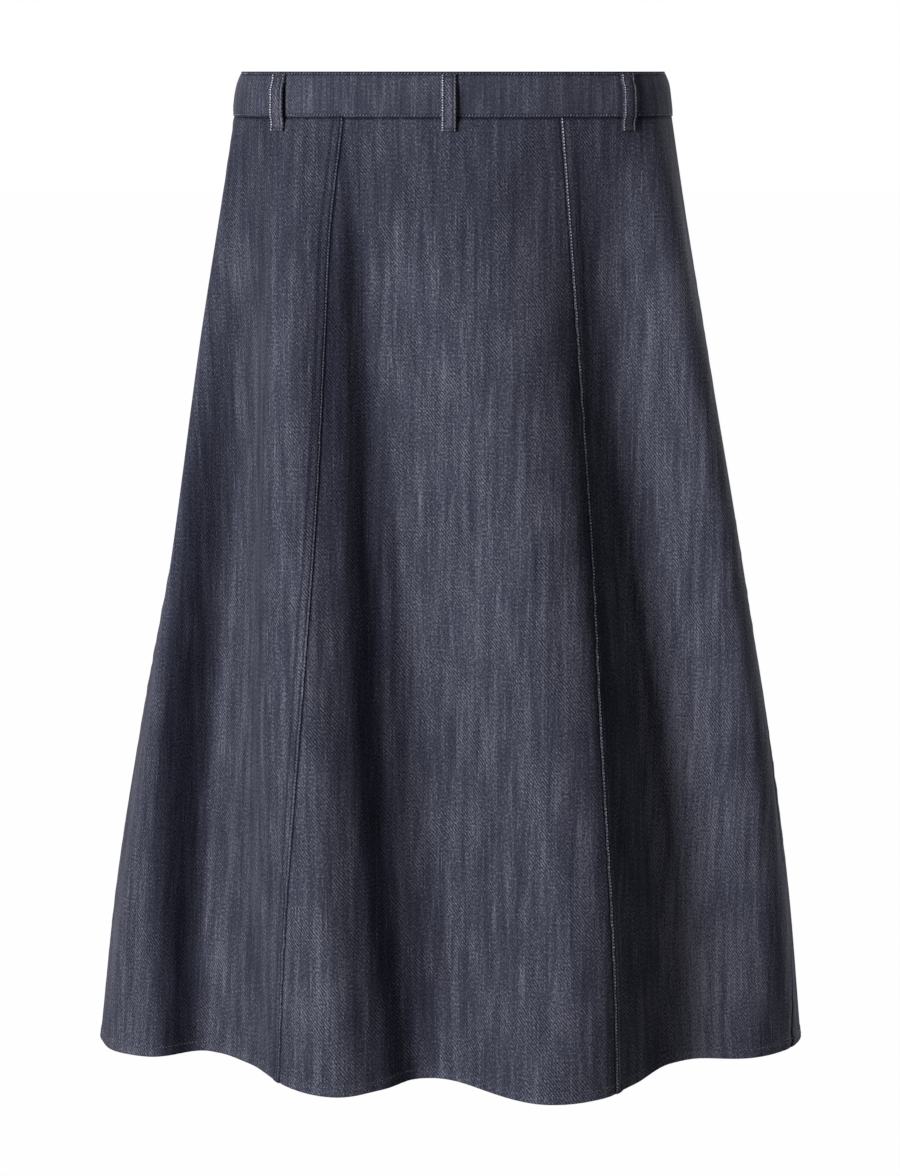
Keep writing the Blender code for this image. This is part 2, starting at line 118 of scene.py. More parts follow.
FOLDS = (
    Fold(-80, -69, -69, 0.010, 0.004, 13, 10),  # back far left ridge
    Fold(-66, -57, -47, -0.032, -0.041, 15, 23),  # back left valley
    Fold(-42, -28, -16.5, 0.040, 0.055, 19, 13),  # back left ridge
    Fold(-22, -9, 3, -0.024, -0.012, 11, 21),  # back middle valley
    Fold(2, 15, 13.5, 0.034, 0.079, 18, 26),  # back right ridge
    Fold(40, 42, 46, -0.034, -0.022, 20, 19),  # back right valley
    Fold(64, 62, 67, 0.023, 0.002, 17, 18),  # back far right ridge
    Fold(116, 118, 121, -0.018, -0.026, 20, 20),  # front right valley
    Fold(144, 144, 147, 0.026, 0.046, 20, 22),  # front right ridge
    Fold(178, 175, 172, -0.020, -0.014, 18, 18),  # front middle valley
    Fold(206, 208, 205, 0.030, 0.052, 22, 20),  # front left ridge
    Fold(240, 238, 240, -0.022, -0.028, 20, 22),  # front left valley
)

CREASES = (
    Streak(-81, 0.08, -46, 1.05, 17, 4.0),
    Streak(-70, 0.08, -42.5, 1.05, 17, -4.6),
    Streak(-30.5, 0.06, 0.2, 1.05, 11, 3.4),
    Streak(-26.5, 0.06, 2, 1.05, 11, -3.8),
    Streak(-32, 0.035, -20, 0.34, 13, 2.0),
    Streak(-27, 0.035, -16.5, 0.34, 13, -2.6),
    Streak(23, 0.30, 23, 1.10, 14, 1.8),
    Streak(26.5, 0.30, 26, 1.10, 14, -1.8),
    Streak(52, 0.32, 57, 1.15, 38, 7.0),
    Streak(-40, 0.06, -30, 0.30, 22, 1.5),
    Streak(-12, 0.05, -6, 0.40, 24, 1.4),
    Streak(10, 0.06, 22, 0.28, 24, 1.6),
    Streak(34, 0.14, 26, 0.46, 22, -1.4),
    Streak(-60, 0.16, -44, 0.40, 20, 1.4),
    Streak(60, 0.12, 52, 0.38, 22, 1.5),
    Streak(120, 0.08, 128, 0.34, 24, -1.5),
    Streak(160, 0.10, 152, 0.44, 26, 1.7),
    Streak(192, 0.07, 200, 0.33, 22, -1.4),
    Streak(226, 0.12, 218, 0.46, 24, 1.6),
)

# Painted shade (below 0) in the folds' valleys, and painted light (above 0) on ridges and on cloth
# in a neighbouring ridge's shadow.
PAINTED_FOLD_SHADES = (
    Streak(-75, 0.14, -45, 1.00, 19, -0.42),
    Streak(-28, 0.04, -4, 0.86, 24, -0.26),
    Streak(-31.5, 0.034, -26, 0.36, 17, -0.22),
    Streak(44, 0.38, 48, 1.12, 36, 0.27),
    Streak(58, 0.034, 60, 0.24, 40, 0.10),
    Streak(6, 0.40, 8, 0.95, 60, -0.06),
    Streak(28, 0.20, 25, 0.90, 14, -0.14),
    Streak(138, 0.10, 142, 0.90, 34, 0.10),
    Streak(176, 0.20, 173, 0.95, 26, -0.18),
    Streak(236, 0.14, 239, 0.95, 24, -0.20),
)

SEAM_DROPS = (0.034, 0.10, 0.20, 0.32, 0.45, 0.754)
SEAMS = (  # each seam's turn at those drops, beginning left of the back's middle
    (-29.3, -30.8, -29.4, -27.3, -25.7, -26.5),
    (28.6, 29.0, 28.9, 27.3, 25.0, 24.0),
    (104.0, 101.6, 98.0, 93.4, 88.0, 73.0),
    (151.0, 151.4, 152.0, 152.9, 154.0, 157.0),
    (209.0, 208.6, 208.0, 207.1, 206.0, 204.0),
    (263.0, 263.4, 264.0, 264.7, 265.0, 263.0),
    (330.7, 329.2, 330.6, 332.7, 334.3, 333.5),
)


def smooth(at: Sequence[float], values: Sequence[float], drop: float) -> float:
    """A value at one height, on a cubic through a short table."""
    at, values = np.asarray(at), np.asarray(values)
    slopes = np.gradient(values, at)
    i = int(np.clip(np.searchsorted(at, drop) - 1, 0, len(at) - 2))
    step = at[i + 1] - at[i]
    f = (drop - at[i]) / step
    return (
        (1 + 2 * f) * (1 - f) ** 2 * values[i]
        + f * (1 - f) ** 2 * step * slopes[i]
        + f * f * (3 - 2 * f) * values[i + 1]
        + f * f * (f - 1) * step * slopes[i + 1]
    )


def through(heights: Sequence[float], values: Sequence[float], drop: float) -> float:
    """The parabola through three values, read at one height."""
    value_at = 0.0
    for i, value in enumerate(values):
        others = [height for j, height in enumerate(heights) if j != i]
        value_at += value * math.prod((drop - height) / (heights[i] - height) for height in others)
    return value_at


def bell(share: Array) -> Array:
    """A raised cosine: 1 at 0, level at both, 0 from 1 on."""
    return 0.5 + 0.5 * np.cos(np.pi * np.minimum(np.abs(share), 1.0))


def ramp(value: Array, low: float, high: float) -> Array:
    """A soft step from 0 at low to 1 at high."""
    share = np.clip((np.asarray(value) - low) / (high - low), 0.0, 1.0)
    return share * share * (3 - 2 * share)


def near(value: Array, place: float, half: float) -> Array:
    """1 at a place, falling off softly on both sides of it."""
    return np.exp(-((value - place) / half) ** 2)


class Ring:
    """The outside in plan at one height, in fine steps, with its directions and its length."""

    SIDEWAYS = 1.15  # how far the evened weave follows the folds' shift sideways
    STEEP = 0.15  # holds that back where the plain curve turns away to the side
    SCALES = (0.45, 1.3)  # the least and most that evening out scales the weave

    def __init__(
        self,
        drop: float,
        turns: Array,
        points: Array,
        plain: Array,
        painted_shades: Array | float = 0.0,
    ) -> None:
        """Measure the curve through the points.

        Args:
            drop: the ring's height.
            turns: the points' turns, growing.
            points: the points in plan.
            plain: the points before any fold moved them.
            painted_shades: the painted light (above 0) or painted shade at each point.
        """
        self.drop = drop
        self.turns = turns
        self.points = points
        self.painted_shades = np.broadcast_to(painted_shades, turns.shape)
        run = np.gradient(points, axis=0)
        facing = np.stack([run[:, 1], -run[:, 0]], axis=-1)
        self.facings = facing / np.linalg.norm(facing, axis=1, keepdims=True)
        steps, plain_steps = (
            np.linalg.norm(np.diff(curve, axis=0), axis=1) for curve in (points, plain)
        )
        self.lengths = np.concatenate([[0.0], np.cumsum(steps)])
        run = np.gradient(plain, axis=0)
        level = run[:, 0] / np.linalg.norm(run, axis=1)
        shift = self.SIDEWAYS * (points - plain)[:, 0] * level / (level ** 2 + self.STEEP)
        least, most = self.SCALES
        even = np.clip(plain_steps + np.diff(shift), least * steps, most * steps)
        self.even_lengths = np.concatenate([[0.0], np.cumsum(even)])

    def length_at(self, turn: Array) -> Array:
        """The length round the curve up to a turn."""
        return np.interp(turn, self.turns, self.lengths)

    def even_length_at(self, turn: Array) -> Array:
        """The length up to a turn with the folds evened out, moved sideways as they move it."""
        return np.interp(turn, self.turns, self.even_lengths)

    def painted_shade_at(self, turn: Array) -> Array:
        """The painted light, or painted shade below 0, at a turn."""
        return np.interp(turn, self.turns, self.painted_shades)

    def turn_at(self, length: Array) -> Array:
        """The turn where the curve reaches a length."""
        return np.interp(length, self.lengths, self.turns)

    def outward(self, turn: Array) -> Array:
        """Level directions square to the curve, facing out."""
        sides = [np.interp(turn, self.turns, self.facings[:, axis]) for axis in (0, 1)]
        facing = np.stack([*sides, np.zeros(np.shape(turn))], axis=-1)
        return facing / np.linalg.norm(facing, axis=-1, keepdims=True)

    def spot(self, turn: Array, out: Array) -> tuple[Array, Array]:
        """Points as place gives them, with the outward directions there."""
        return self.place(turn, out), self.outward(turn)

    def place(self, turn: Array, out: Array) -> Array:
        """Points in space on the curve, one for each turn, moved out square to it in metres."""
        plan = [np.interp(turn, self.turns, self.points[:, axis]) for axis in (0, 1)]
        height = np.full(np.shape(turn), FORM.band_height / 2 - self.drop)
        return np.stack([*plan, height], axis=-1) + self.outward(turn) * np.asarray(out)[..., None]


@dataclass(frozen=True, eq=False)
class HangingForm:
    """The skirt's outside as it hangs, worked out from its sizes."""

    length: float = 0.754
    band_height: float = 0.034
    band_proud: float = 0.7 * MM
    high_drop: float = 0.10
    middle_drop: float = 0.40
    crease_aside: float = 0.25  # creases stand out to the back and front more than aside
    first_turn: float = -60.0
    last_turn: float = 470.0
    turn_step: float = 0.15
    rings: dict = field(default_factory=dict)

    def turns(self) -> Array:
        """The fine turns of a ring, a little more than once round."""
        return np.arange(self.first_turn, self.last_turn, self.turn_step)

    def oval(self, width: float, back: float, front: float) -> tuple[Array, Array]:
        """Points of an oval in plan and its outward directions."""
        angle = np.radians(self.turns())
        depth = np.where(np.cos(angle) > 0, back, front)
        points = np.stack([width * np.sin(angle), -depth * np.cos(angle)], axis=-1)
        outward = np.stack([depth * np.sin(angle), -width * np.cos(angle)], axis=-1)
        return points, outward / np.linalg.norm(outward, axis=-1, keepdims=True)

    def fold_lift(self, drop: float) -> Array:
        """How far the folds move the cloth out, at each turn."""
        lift = np.zeros(len(self.turns()))
        for fold in FOLDS:
            places = (self.high_drop, self.middle_drop, self.length)
            centre = through(places, (fold.high, fold.middle, fold.hem), drop)
            places = (self.band_height, self.middle_drop, self.length)
            out = through(places, (0.0, fold.out_middle, fold.out_hem), drop)
            away = (self.turns() - centre + 180) % 360 - 180
            lift += out * bell(away / np.where(away < 0, fold.reach_before, fold.reach_after))
        return lift

    def streaks(self, streaks: Sequence[Streak], drop: float, girth: float) -> Array:
        """What soft lines add up to at each fine turn, in their own unit.

        Args:
            streaks: the lines.
            drop: the height.
            girth: metres once round at that height.

        Returns:
            Their sum.
        """
        summed = np.zeros(len(self.turns()))
        for streak in streaks:
            along = (drop - streak.drop) / (streak.end_drop - streak.drop)
            if 0.0 < along < 1.0:
                centre = streak.turn + along * (streak.end_turn - streak.turn)
                away = ((self.turns() - centre + 180) % 360 - 180) / 360 * girth
                summed += streak.most * math.sin(math.pi * along) * bell(away / (streak.reach * MM))
        return summed

    def cloth(self, drop: float) -> Ring:
        """The gores' outside at one height."""
        key = ("cloth", round(drop, 6))
        if key not in self.rings:
            drops, *sizes = np.array(SECTIONS).T
            width, back, front, aside = (smooth(drops, size, drop) for size in sizes)
            plain, outward = self.oval(width, back, front)
            creased = outward * np.array([self.crease_aside, 1.0])
            creased /= np.linalg.norm(creased, axis=1, keepdims=True)
            girth = math.pi * (width + (back + front) / 2)
            lift = self.streaks(CREASES, drop, girth) * MM
            points = plain + outward * self.fold_lift(drop)[:, None] + creased * lift[:, None]
            points = points + np.array([aside, 0.0])
            # Painted light and shade down the folds, in the cloth's tone.
            painted_shades = self.streaks(PAINTED_FOLD_SHADES, drop, girth)
            self.rings[key] = Ring(drop, self.turns(), points, plain, painted_shades)
        return self.rings[key]

    def band(self, drop: float, lean: float) -> Ring:
        """The waistband's outside at one height, leaning at the sides only."""
        key = ("band", round(drop, 6))
        if key not in self.rings:
            seam = SECTIONS[0]
            sizes = (size + self.band_proud for size in (seam.width, seam.back, seam.front))
            plain, outward = self.oval(*sizes)
            share = np.sin(np.radians(self.turns()))[:, None] ** 4
            self.rings[key] = Ring(drop, self.turns(), plain + outward * (lean * share), plain)
        return self.rings[key]

    def seam_turn(self, seam: int, drop: float) -> float:
        """A seam's turn at one height."""
        return smooth(SEAM_DROPS, SEAMS[seam], drop)


FORM = HangingForm()


# Finishes -------------------------------------------------------------------------------------


def linear(colour: str) -> tuple[float, float, float, float]:
    """A linear colour with its alpha from an sRGB hex value such as "#3c3d4a"."""
    shares = [int(colour[i:i + 2], 16) / 255 for i in (1, 3, 5)]
    return (*[s / 12.92 if s <= 0.04045 else ((s + 0.055) / 1.055) ** 2.4 for s in shares], 1.0)


class Nodes:
    """A node tree, with short ways to add to it."""

    def __init__(self, tree: NodeTree) -> None:
        """Keep the tree that the nodes go in."""
        self.tree = tree

    def add(self, kind: str, inputs: dict | None = None, **settings) -> Node:
        """Add a node with its settings and links.

        Args:
            kind: the node's type.
            inputs: for a socket's name or place, its constant or the output that feeds it.
            settings: the node's own properties.

        Returns:
            The new node.
        """
        node = self.tree.nodes.new(kind)
        for name, value in settings.items():
            setattr(node, name, value)
        for key, value in (inputs or {}).items():
            if isinstance(value, NodeSocket):
                self.tree.links.new(value, node.inputs[key])
            else:
                node.inputs[key].default_value = value
        return node

    def value(
        self, kind: str, inputs: dict | None = None, output: int | str = 0, **settings
    ) -> NodeSocket:
        """Add a node in the same way and give one of its outputs."""
        return self.add(kind, inputs, **settings).outputs[output]

    def math(self, operation: str, *values: float | NodeSocket) -> NodeSocket:
        """Work out a value from others."""
        return self.value("ShaderNodeMath", dict(enumerate(values)), operation=operation)


def new_material(name: str) -> tuple[Material, Nodes, Node]:
    """An empty node material, its nodes and its output node."""
    material = bpy.data.materials.new(name)
    material.use_nodes = True
    nodes = Nodes(material.node_tree)
    nodes.tree.nodes.clear()
    return material, nodes, nodes.add("ShaderNodeOutputMaterial")


class Fleck(NamedTuple):
    """Soft noise in flecks of a real size on the cloth, and its weight in the cloth's tone."""

    across: float  # a fleck's width in millimetres
    along: float  # its length down the warp in millimetres
    share: float = 0.0
    detail: float = 1.0  # octaves
    apart: float = 40.0  # how far the noise of one layer of the weave lies from the next

    def value(self, nodes: Nodes, weave: NodeSocket) -> NodeSocket:
        """The noise, from 0 to 1 about 0.5, at a place on the cloth in metres."""
        scale = (1 / (self.across * MM), 1 / (self.along * MM), self.apart)
        scaled = nodes.value("ShaderNodeMapping", {"Vector": weave, "Scale": scale})
        noise = {"Vector": scaled, "Scale": 1.0, "Detail": self.detail}
        return nodes.value("ShaderNodeTexNoise", noise)


def total(
    nodes: Nodes, start: float, parts: Sequence[tuple[NodeSocket, float]]
) -> NodeSocket:
    """A start value plus each part times its weight, with parts about 0.5 counted from there."""
    value = start - 0.5 * sum(weight for _, weight in parts)
    for socket, weight in parts:
        value = nodes.math("MULTIPLY_ADD", socket, weight, value)
    return value


def colour_at(nodes: Nodes, tone: NodeSocket, *stops: tuple[float, str]) -> NodeSocket:
    """The colour at a tone, from pairs of a tone and its sRGB hex colour."""
    node = nodes.add("ShaderNodeValToRGB", {"Fac": tone})
    elements = node.color_ramp.elements
    elements[0].position, elements[1].position = stops[0][0], stops[-1][0]
    for place, _ in stops[1:-1]:
        elements.new(place)
    for element, (_, colour) in zip(elements, stops):
        element.color = linear(colour)
    return node.outputs["Color"]


def add_surface(
    nodes: Nodes,
    output: Node,
    height: NodeSocket,
    strength: float,
    distance: float,
    inputs: dict,
) -> None:
    """Join a bumped Principled surface to a material's output.

    Args:
        nodes: the material's nodes.
        output: its output node.
        height: what the bump follows.
        strength: the bump's strength.
        distance: the bump's height in metres.
        inputs: the surface's inputs.
    """
    bump = {"Height": height, "Strength": strength, "Distance": distance}
    normal = nodes.value("ShaderNodeBump", bump)
    shader = nodes.value("ShaderNodeBsdfPrincipled", {**inputs, "Normal": normal})
    nodes.tree.links.new(shader, output.inputs[0])


@dataclass(frozen=True)
class Denim:
    """Stretch denim twill, yarn-dyed and washed as a garment: matt navy with pale slubs."""

    name: str = "washed_stretch_denim_twill"
    deep: str = "#151724"
    middle: str = "#3a3b49"
    pale: str = "#72727f"
    twill_pitch: float = 1.85 * MM  # drawn coarser than the real 0.6 mm so that it shows
    twill_lean: float = 52.0  # degrees from level, falling to the right
    twill_share: float = 0.40
    twill_wander: float = 8.0  # radians that its lines wander, at the most
    wander: Fleck = Fleck(5, 7, detail=2.0)
    patch: Fleck = Fleck(28, 36)  # where the twill shows more or less
    slub: Fleck = Fleck(1.3, 34, 0.42)
    broad_slub: Fleck = Fleck(6, 90, 0.50)
    weft: Fleck = Fleck(7, 1.6, 0.14)
    fleck: Fleck = Fleck(1.3, 1.7, 1.08)
    mottle: Fleck = Fleck(38, 60, 0.26, 3.0)
    roughness: float = 0.9
    relief: float = 0.25 * MM

    def twill(self, nodes: Nodes, weave: NodeSocket) -> NodeSocket:
        """The twill's slanting lines, which wander and show more in patches."""
        lean = math.radians(self.twill_lean)
        step = 2 * math.pi / self.twill_pitch
        slant = (step * math.sin(lean), -step * math.cos(lean), 0.0)
        phase = {0: weave, 1: slant}
        phase = nodes.value("ShaderNodeVectorMath", phase, "Value", operation="DOT_PRODUCT")
        wander = self.wander.value(nodes, weave)
        bent = nodes.math("MULTIPLY_ADD", wander, self.twill_wander, phase)
        wave = nodes.math("SINE", bent)
        crisp = nodes.value("ShaderNodeMapRange", {
            "Value": self.patch.value(nodes, weave), "From Min": 0.38, "From Max": 0.62,
            "To Min": 0.12, "To Max": 0.5,
        })
        return nodes.math("MULTIPLY_ADD", wave, crisp, 0.5)

    def material(self) -> Material:
        """Weave, slubs, mottling, worn paler places, and painted light and shade down the folds and
        in the stitch grooves.
        """
        material, nodes, output = new_material(self.name)
        weave = nodes.value("ShaderNodeAttribute", output="Vector", attribute_name="weave")
        # Worn places and painted light and shade, carried together in one attribute.
        wear_and_painted_shading = nodes.value("ShaderNodeAttribute", output="Fac", attribute_name="wear_and_painted_shading")
        twill = self.twill(nodes, weave)
        slub, fleck = (part.value(nodes, weave) for part in (self.slub, self.fleck))
        others = (self.broad_slub, self.weft, self.mottle)
        tone = total(nodes, 0.5, [
            (twill, self.twill_share), (slub, self.slub.share), (fleck, self.fleck.share),
            *((part.value(nodes, weave), part.share) for part in others),
        ])
        streak = {"Value": slub, "From Min": 0.66, "From Max": 0.84, "To Max": 0.20}
        streak = nodes.value("ShaderNodeMapRange", streak)
        for more in (streak, wear_and_painted_shading):
            tone = nodes.math("ADD", tone, more)
        height = total(nodes, 0.5, [(twill, 0.35), (slub, 0.5), (fleck, 0.6)])
        stops = ((0, self.deep), (0.5, self.middle), (1, self.pale))
        add_surface(nodes, output, height, 0.6, self.relief, {
            "Base Color": colour_at(nodes, tone, *stops),
            "Roughness": self.roughness,
            "Specular IOR Level": 0.12,
            "Sheen Weight": 0.05,
            "Sheen Roughness": 0.45,
            "Sheen Tint": linear(self.pale),
        })
        return material


@dataclass(frozen=True)
class Thread:
    """Corespun polyester sewing thread, twisted and dyed to the cloth: a soft silky glint."""

    name: str = "corespun_sewing_thread"
    deep: str = "#484959"
    pale: str = "#8c8c9a"
    ply: float = 0.5 * MM  # of thread for each radian of its twist

    def material(self) -> Material:
        """Ply twist along each stitch and a tone of its own for each."""
        material, nodes, output = new_material(self.name)
        place = nodes.value("ShaderNodeTexCoord", output="Object")
        shade = nodes.value("ShaderNodeAttribute", output="Fac", attribute_name="shade")
        twist = {"Vector": place, "Scale": 1 / (self.ply * WAVE_PHASE), "Distortion": 1.5}
        twist = nodes.value("ShaderNodeTexWave", twist, "Fac", bands_direction="DIAGONAL")
        tone = total(nodes, 0.5, [(twist, 0.3), (shade, 0.8)])
        add_surface(nodes, output, twist, 0.4, 0.1 * MM, {
            "Base Color": colour_at(nodes, tone, (0, self.deep), (1, self.pale)),
            "Roughness": 0.55,
            "Sheen Weight": 0.2,
        })
        return material


@dataclass(frozen=True)
class Lacquer:
    """Zinc alloy, die-cast and lacquered navy: half gloss, with metal showing on worn edges."""

    name: str = "lacquered_zinc_alloy"
    paint: str = "#20222f"
    rubbed_and_painted_light: str = "#5a5b66"
    mark: float = 1.2 * MM

    def material(self) -> Material:
        """Lacquer with faint marks where it is worn to the metal."""
        material, nodes, output = new_material(self.name)
        place = nodes.value("ShaderNodeTexCoord", output="Object")
        marks = {"Vector": place, "Scale": 1 / self.mark, "Detail": 4.0}
        marks = nodes.value("ShaderNodeTexNoise", marks)
        rough = {"Value": marks, "To Min": 0.28, "To Max": 0.48}
        rough = nodes.value("ShaderNodeMapRange", rough)
        add_surface(nodes, output, marks, 0.15, 0.05 * MM, {
            "Base Color": colour_at(nodes, marks, (0.55, self.paint), (0.8, self.rubbed_and_painted_light)),
            "Metallic": 0.75,
            "Roughness": rough,
        })
        return material


@dataclass(frozen=True)
class Tape:
    """Zip tape, woven of dyed polyester in a fine herringbone: flat, a little silky."""

    name: str = "woven_polyester_zip_tape"
    deep: str = "#10111c"
    pale: str = "#2c2d3d"
    rib: float = 0.9 * MM  # of tape for each radian of its ribs
    fleck: Fleck = Fleck(0.6, 0.9, 0.6, 2.0)

    def material(self) -> Material:
        """Herringbone ribs along the tape."""
        material, nodes, output = new_material(self.name)
        weave = nodes.value("ShaderNodeAttribute", output="Vector", attribute_name="weave")
        ribs = {"Vector": weave, "Scale": 1 / (self.rib * WAVE_PHASE), "Distortion": 0.4}
        ribs = nodes.value("ShaderNodeTexWave", ribs, "Fac", bands_direction="X")
        tone = total(nodes, 0.5, [(ribs, 0.6), (self.fleck.value(nodes, weave), self.fleck.share)])
        add_surface(nodes, output, tone, 0.5, 0.15 * MM, {
            "Base Color": colour_at(nodes, tone, (0, self.deep), (1, self.pale)),
            "Roughness": 0.7,
            "Sheen Weight": 0.15,
        })
        return material


@dataclass(frozen=True)
class StudioPaint:
    """Matt emulsion on the studio floor: pale as the air, but throwing up little light."""

    name: str = "matt_studio_emulsion"
    seen: str = "#fefefe"
    dull: str = "#606060"

    def material(self) -> Material:
        """Paint that glows to the camera and is a plain matt grey to every other ray."""
        material, nodes, output = new_material(self.name)
        glow = nodes.value("ShaderNodeEmission", {"Color": linear(self.seen)})
        paint = nodes.value("ShaderNodeBsdfDiffuse", {"Color": linear(self.dull)})
        seen = nodes.value("ShaderNodeLightPath", output="Is Camera Ray")
        mixed = nodes.value("ShaderNodeMixShader", {0: seen, 1: paint, 2: glow})
        nodes.tree.links.new(mixed, output.inputs[0])
        return material


@dataclass(frozen=True)
class Wardrobe:
    """The finishes that the pieces share."""

    denim: Material
    interlined: Material
    reverse: Material
    thread: Material
    bright_thread: Material
    navy_thread: Material
    tape: Material
    lacquer: Material

    @classmethod
    def woven(cls) -> "Wardrobe":
        """Make each finish once."""
        interlined = Denim("interlined_denim_twill", twill_share=0.22, fleck=Fleck(1.3, 1.7, 0.72))
        reverse = Denim("denim_twill_reverse", "#2b2d3b", "#55566a", "#8b8c99", twill_lean=128.0)
        return cls(
            denim=Denim().material(),
            interlined=interlined.material(),
            reverse=reverse.material(),
            thread=Thread().material(),
            # A paler copy of the thread, painting the highlight on lit stitches: the back right
            # princess seam and the loops' left edges.
            bright_thread=Thread("corespun_thread_painted_highlight", "#9c9ca8", "#e4e4ea").material(),
            navy_thread=Thread("navy_corespun_sewing_thread", "#191a27", "#343546").material(),
            tape=Tape().material(),
            lacquer=Lacquer().material(),
        )


# Meshes ---------------------------------------------------------------------------------------


class Row(NamedTuple):
    """One row of a cloth's points, going round."""

    outside: Array
    inside: Array
    weave: Array  # places on the cloth
    wear_and_painted_shading: Array  # how much paler it is, from worn places and from painted light and shade


class Line(NamedTuple):
    """A soft line in the cloth's tone beside sewing or an edge, paler above 0: painted shade in
    grooves and under edges, or a worn paler ridge.
    """

    share: float
    place: float  # its middle in millimetres
    half: float  # its half width in millimetres

    def at(self, away: Array) -> Array:
        """The tone at a distance in metres."""
        return self.share * near(away, self.place * MM, self.half * MM)


def on_cloth(across: Array, drop: float, layer: float) -> Array:
    """Places on the cloth: metres across and down the warp, and the noise's own layer."""
    return np.stack([across, np.full(len(across), drop), np.full(len(across), layer)], axis=-1)


def add_object(name: str, mesh: Mesh) -> Object:
    """An object for a mesh, in the scene."""
    made = bpy.data.objects.new(name, mesh)
    bpy.context.scene.collection.objects.link(made)
    return made


def dress(name: str, mesh: Mesh, node: str, body: str = SKIRT) -> Object:
    """Put a mesh in the scene in place of a solid.

    Args:
        name: the new object's name.
        mesh: its mesh.
        node: the solid that it replaces.
        body: the body that it rides on.

    Returns:
        The object.
    """
    made = add_object(name, mesh)
    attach(made, body)
    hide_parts(node)
    return made


def set_attribute(mesh: Mesh, name: str, values: Array) -> None:
    """Give each point of a mesh a value, or a vector, by name."""
    is_vector = values.ndim == 2
    layer = mesh.attributes.new(name, "FLOAT_VECTOR" if is_vector else "FLOAT", "POINT")
    layer.data.foreach_set("vector" if is_vector else "value", values.astype(np.float32).ravel())


def shell_mesh(
    name: str, cloth: Sequence[Row], outside: Material, inside: Material
) -> Mesh:
    """A closed thin wall.

    Args:
        name: the mesh's name.
        cloth: its rows, going down.
        outside: the material of its outside and its edges.
        inside: the material of its inside.

    Returns:
        The mesh, with each point's place on the cloth and its tone shift from worn places and
        painted light and shade.
    """
    outer, inner, weave, wear_and_painted_shading = (np.array(parts) for parts in zip(*cloth))
    rows, columns = outer.shape[:2]
    count = rows * columns
    grid = np.arange(count).reshape(rows, columns)
    a, b, c, d = grid[:-1, :-1], grid[:-1, 1:], grid[1:, 1:], grid[1:, :-1]
    front = np.stack([a, d, c, b], axis=-1).reshape(-1, 4)
    back = np.stack([a, b, c, d], axis=-1).reshape(-1, 4) + count
    border = np.concatenate([grid[0, :], grid[1:, -1], grid[-1, -2::-1], grid[-2:0:-1, 0]])
    after = np.roll(border, -1)
    rim = np.stack([border, after, after + count, border + count], axis=-1)
    faces = np.concatenate([front, rim, back])
    points = np.concatenate([outer.reshape(-1, 3), inner.reshape(-1, 3)])
    mesh = bpy.data.meshes.new(name)
    mesh.from_pydata(points.tolist(), [], faces.tolist())
    slots = np.zeros(len(faces), dtype=np.int32)
    slots[len(front) + len(rim):] = 1
    mesh.polygons.foreach_set("material_index", slots)
    mesh.shade_smooth()
    mesh.set_sharp_from_angle(angle=math.radians(60))
    set_attribute(mesh, "weave", np.concatenate([weave.reshape(-1, 3)] * 2))
    set_attribute(mesh, "wear_and_painted_shading", np.concatenate([wear_and_painted_shading.ravel()] * 2))
    mesh.materials.append(outside)
    mesh.materials.append(inside)
    return mesh


# Gores ----------------------------------------------------------------------------------------


class Edge(Enum):
    """How a gore meets the next one, with its columns in millimetres from the seam."""

    UNDER = (-8.4, -4.0, -0.6, 0.1, 0.5, 1.2, 2.4, 4.2, 7.0)  # runs on under a lap
    LAPPED = (  # folded under and stitched down over the next
        0, 0.12, 0.3, 0.6, 0.95, 1.3, 1.65, 2.1, 3.2, 4.8, 6.3, 7.0, 7.5, 8.0, 8.7, 9.6, 10.8, 12.6,
    )
    PRESSED = (-0.06, 0.3, 0.6, 1.0, 1.5, 2.3, 3.6, 5.5, 8.0, 10.5, 12.5)  # pressed open


EDGE_LINES = {
    # Painted shadow beside the lap's folded edge.
    Edge.UNDER: (Line(-0.80, 0.0, 1.0),),
    Edge.LAPPED: (
        Line(0.06, 0.3, 0.6),  # rubbed fold
        Line(0.05, 4.6, 1.8),  # rubbed over the allowance
        Line(-0.42, 2.3, 0.55),  # painted shade in the channel beside the first row of stitches
        Line(-0.34, 7.6, 0.8),  # painted shade round the second row
    ),
    # Painted shade in the pressed seam's groove.
    Edge.PRESSED: (Line(-0.85, 0.0, 1.7),),
}


@dataclass(frozen=True)
class Hem:
    """The edge turned up twice and stitched."""

    height: float = 8 * MM
    stitch: float = 7.3 * MM  # from the hem to its row of stitches
    thickness: float = 2.3 * MM
    proud: float = 0.35 * MM
    rope_pitch: float = 6.5 * MM  # the turn-up's slanting ripples
    rope_height: float = 0.22 * MM
    wear_and_painted_shading: float = 0.06
    # Painted shade in the groove of its row of stitches.
    stitch_painted_shade: Line = Line(-0.28, 0.0, 0.55)
    rows: tuple[float, ...] = (  # millimetres up from the hem
        0, 0.2, 0.5, 0.9, 1.4, 2.2, 3.2, 4.3, 5.4, 6.3,
        6.8, 7.1, 7.35, 7.6, 7.9, 8.3, 8.8, 9.6, 11, 13.5,
    )

    def share(self, above: float, fade: float) -> float:
        """1 in the turn-up, falling to 0 over a short fade above it."""
        return 1 - float(ramp(above, self.height, self.height + fade))

    def ripple(self, place: Array, above: float) -> Array:
        """Slanting ripples of uneven strength along the turn-up."""
        slant = place + 0.9 * above
        wave = np.sin(2 * np.pi * slant / self.rope_pitch + 1.7 * np.sin(place * 61.0))
        strength = (0.6 + 0.4 * np.sin(place * 43.0)) * ramp(self.height - above, 0, 2 * MM)
        return self.rope_height * wave * strength


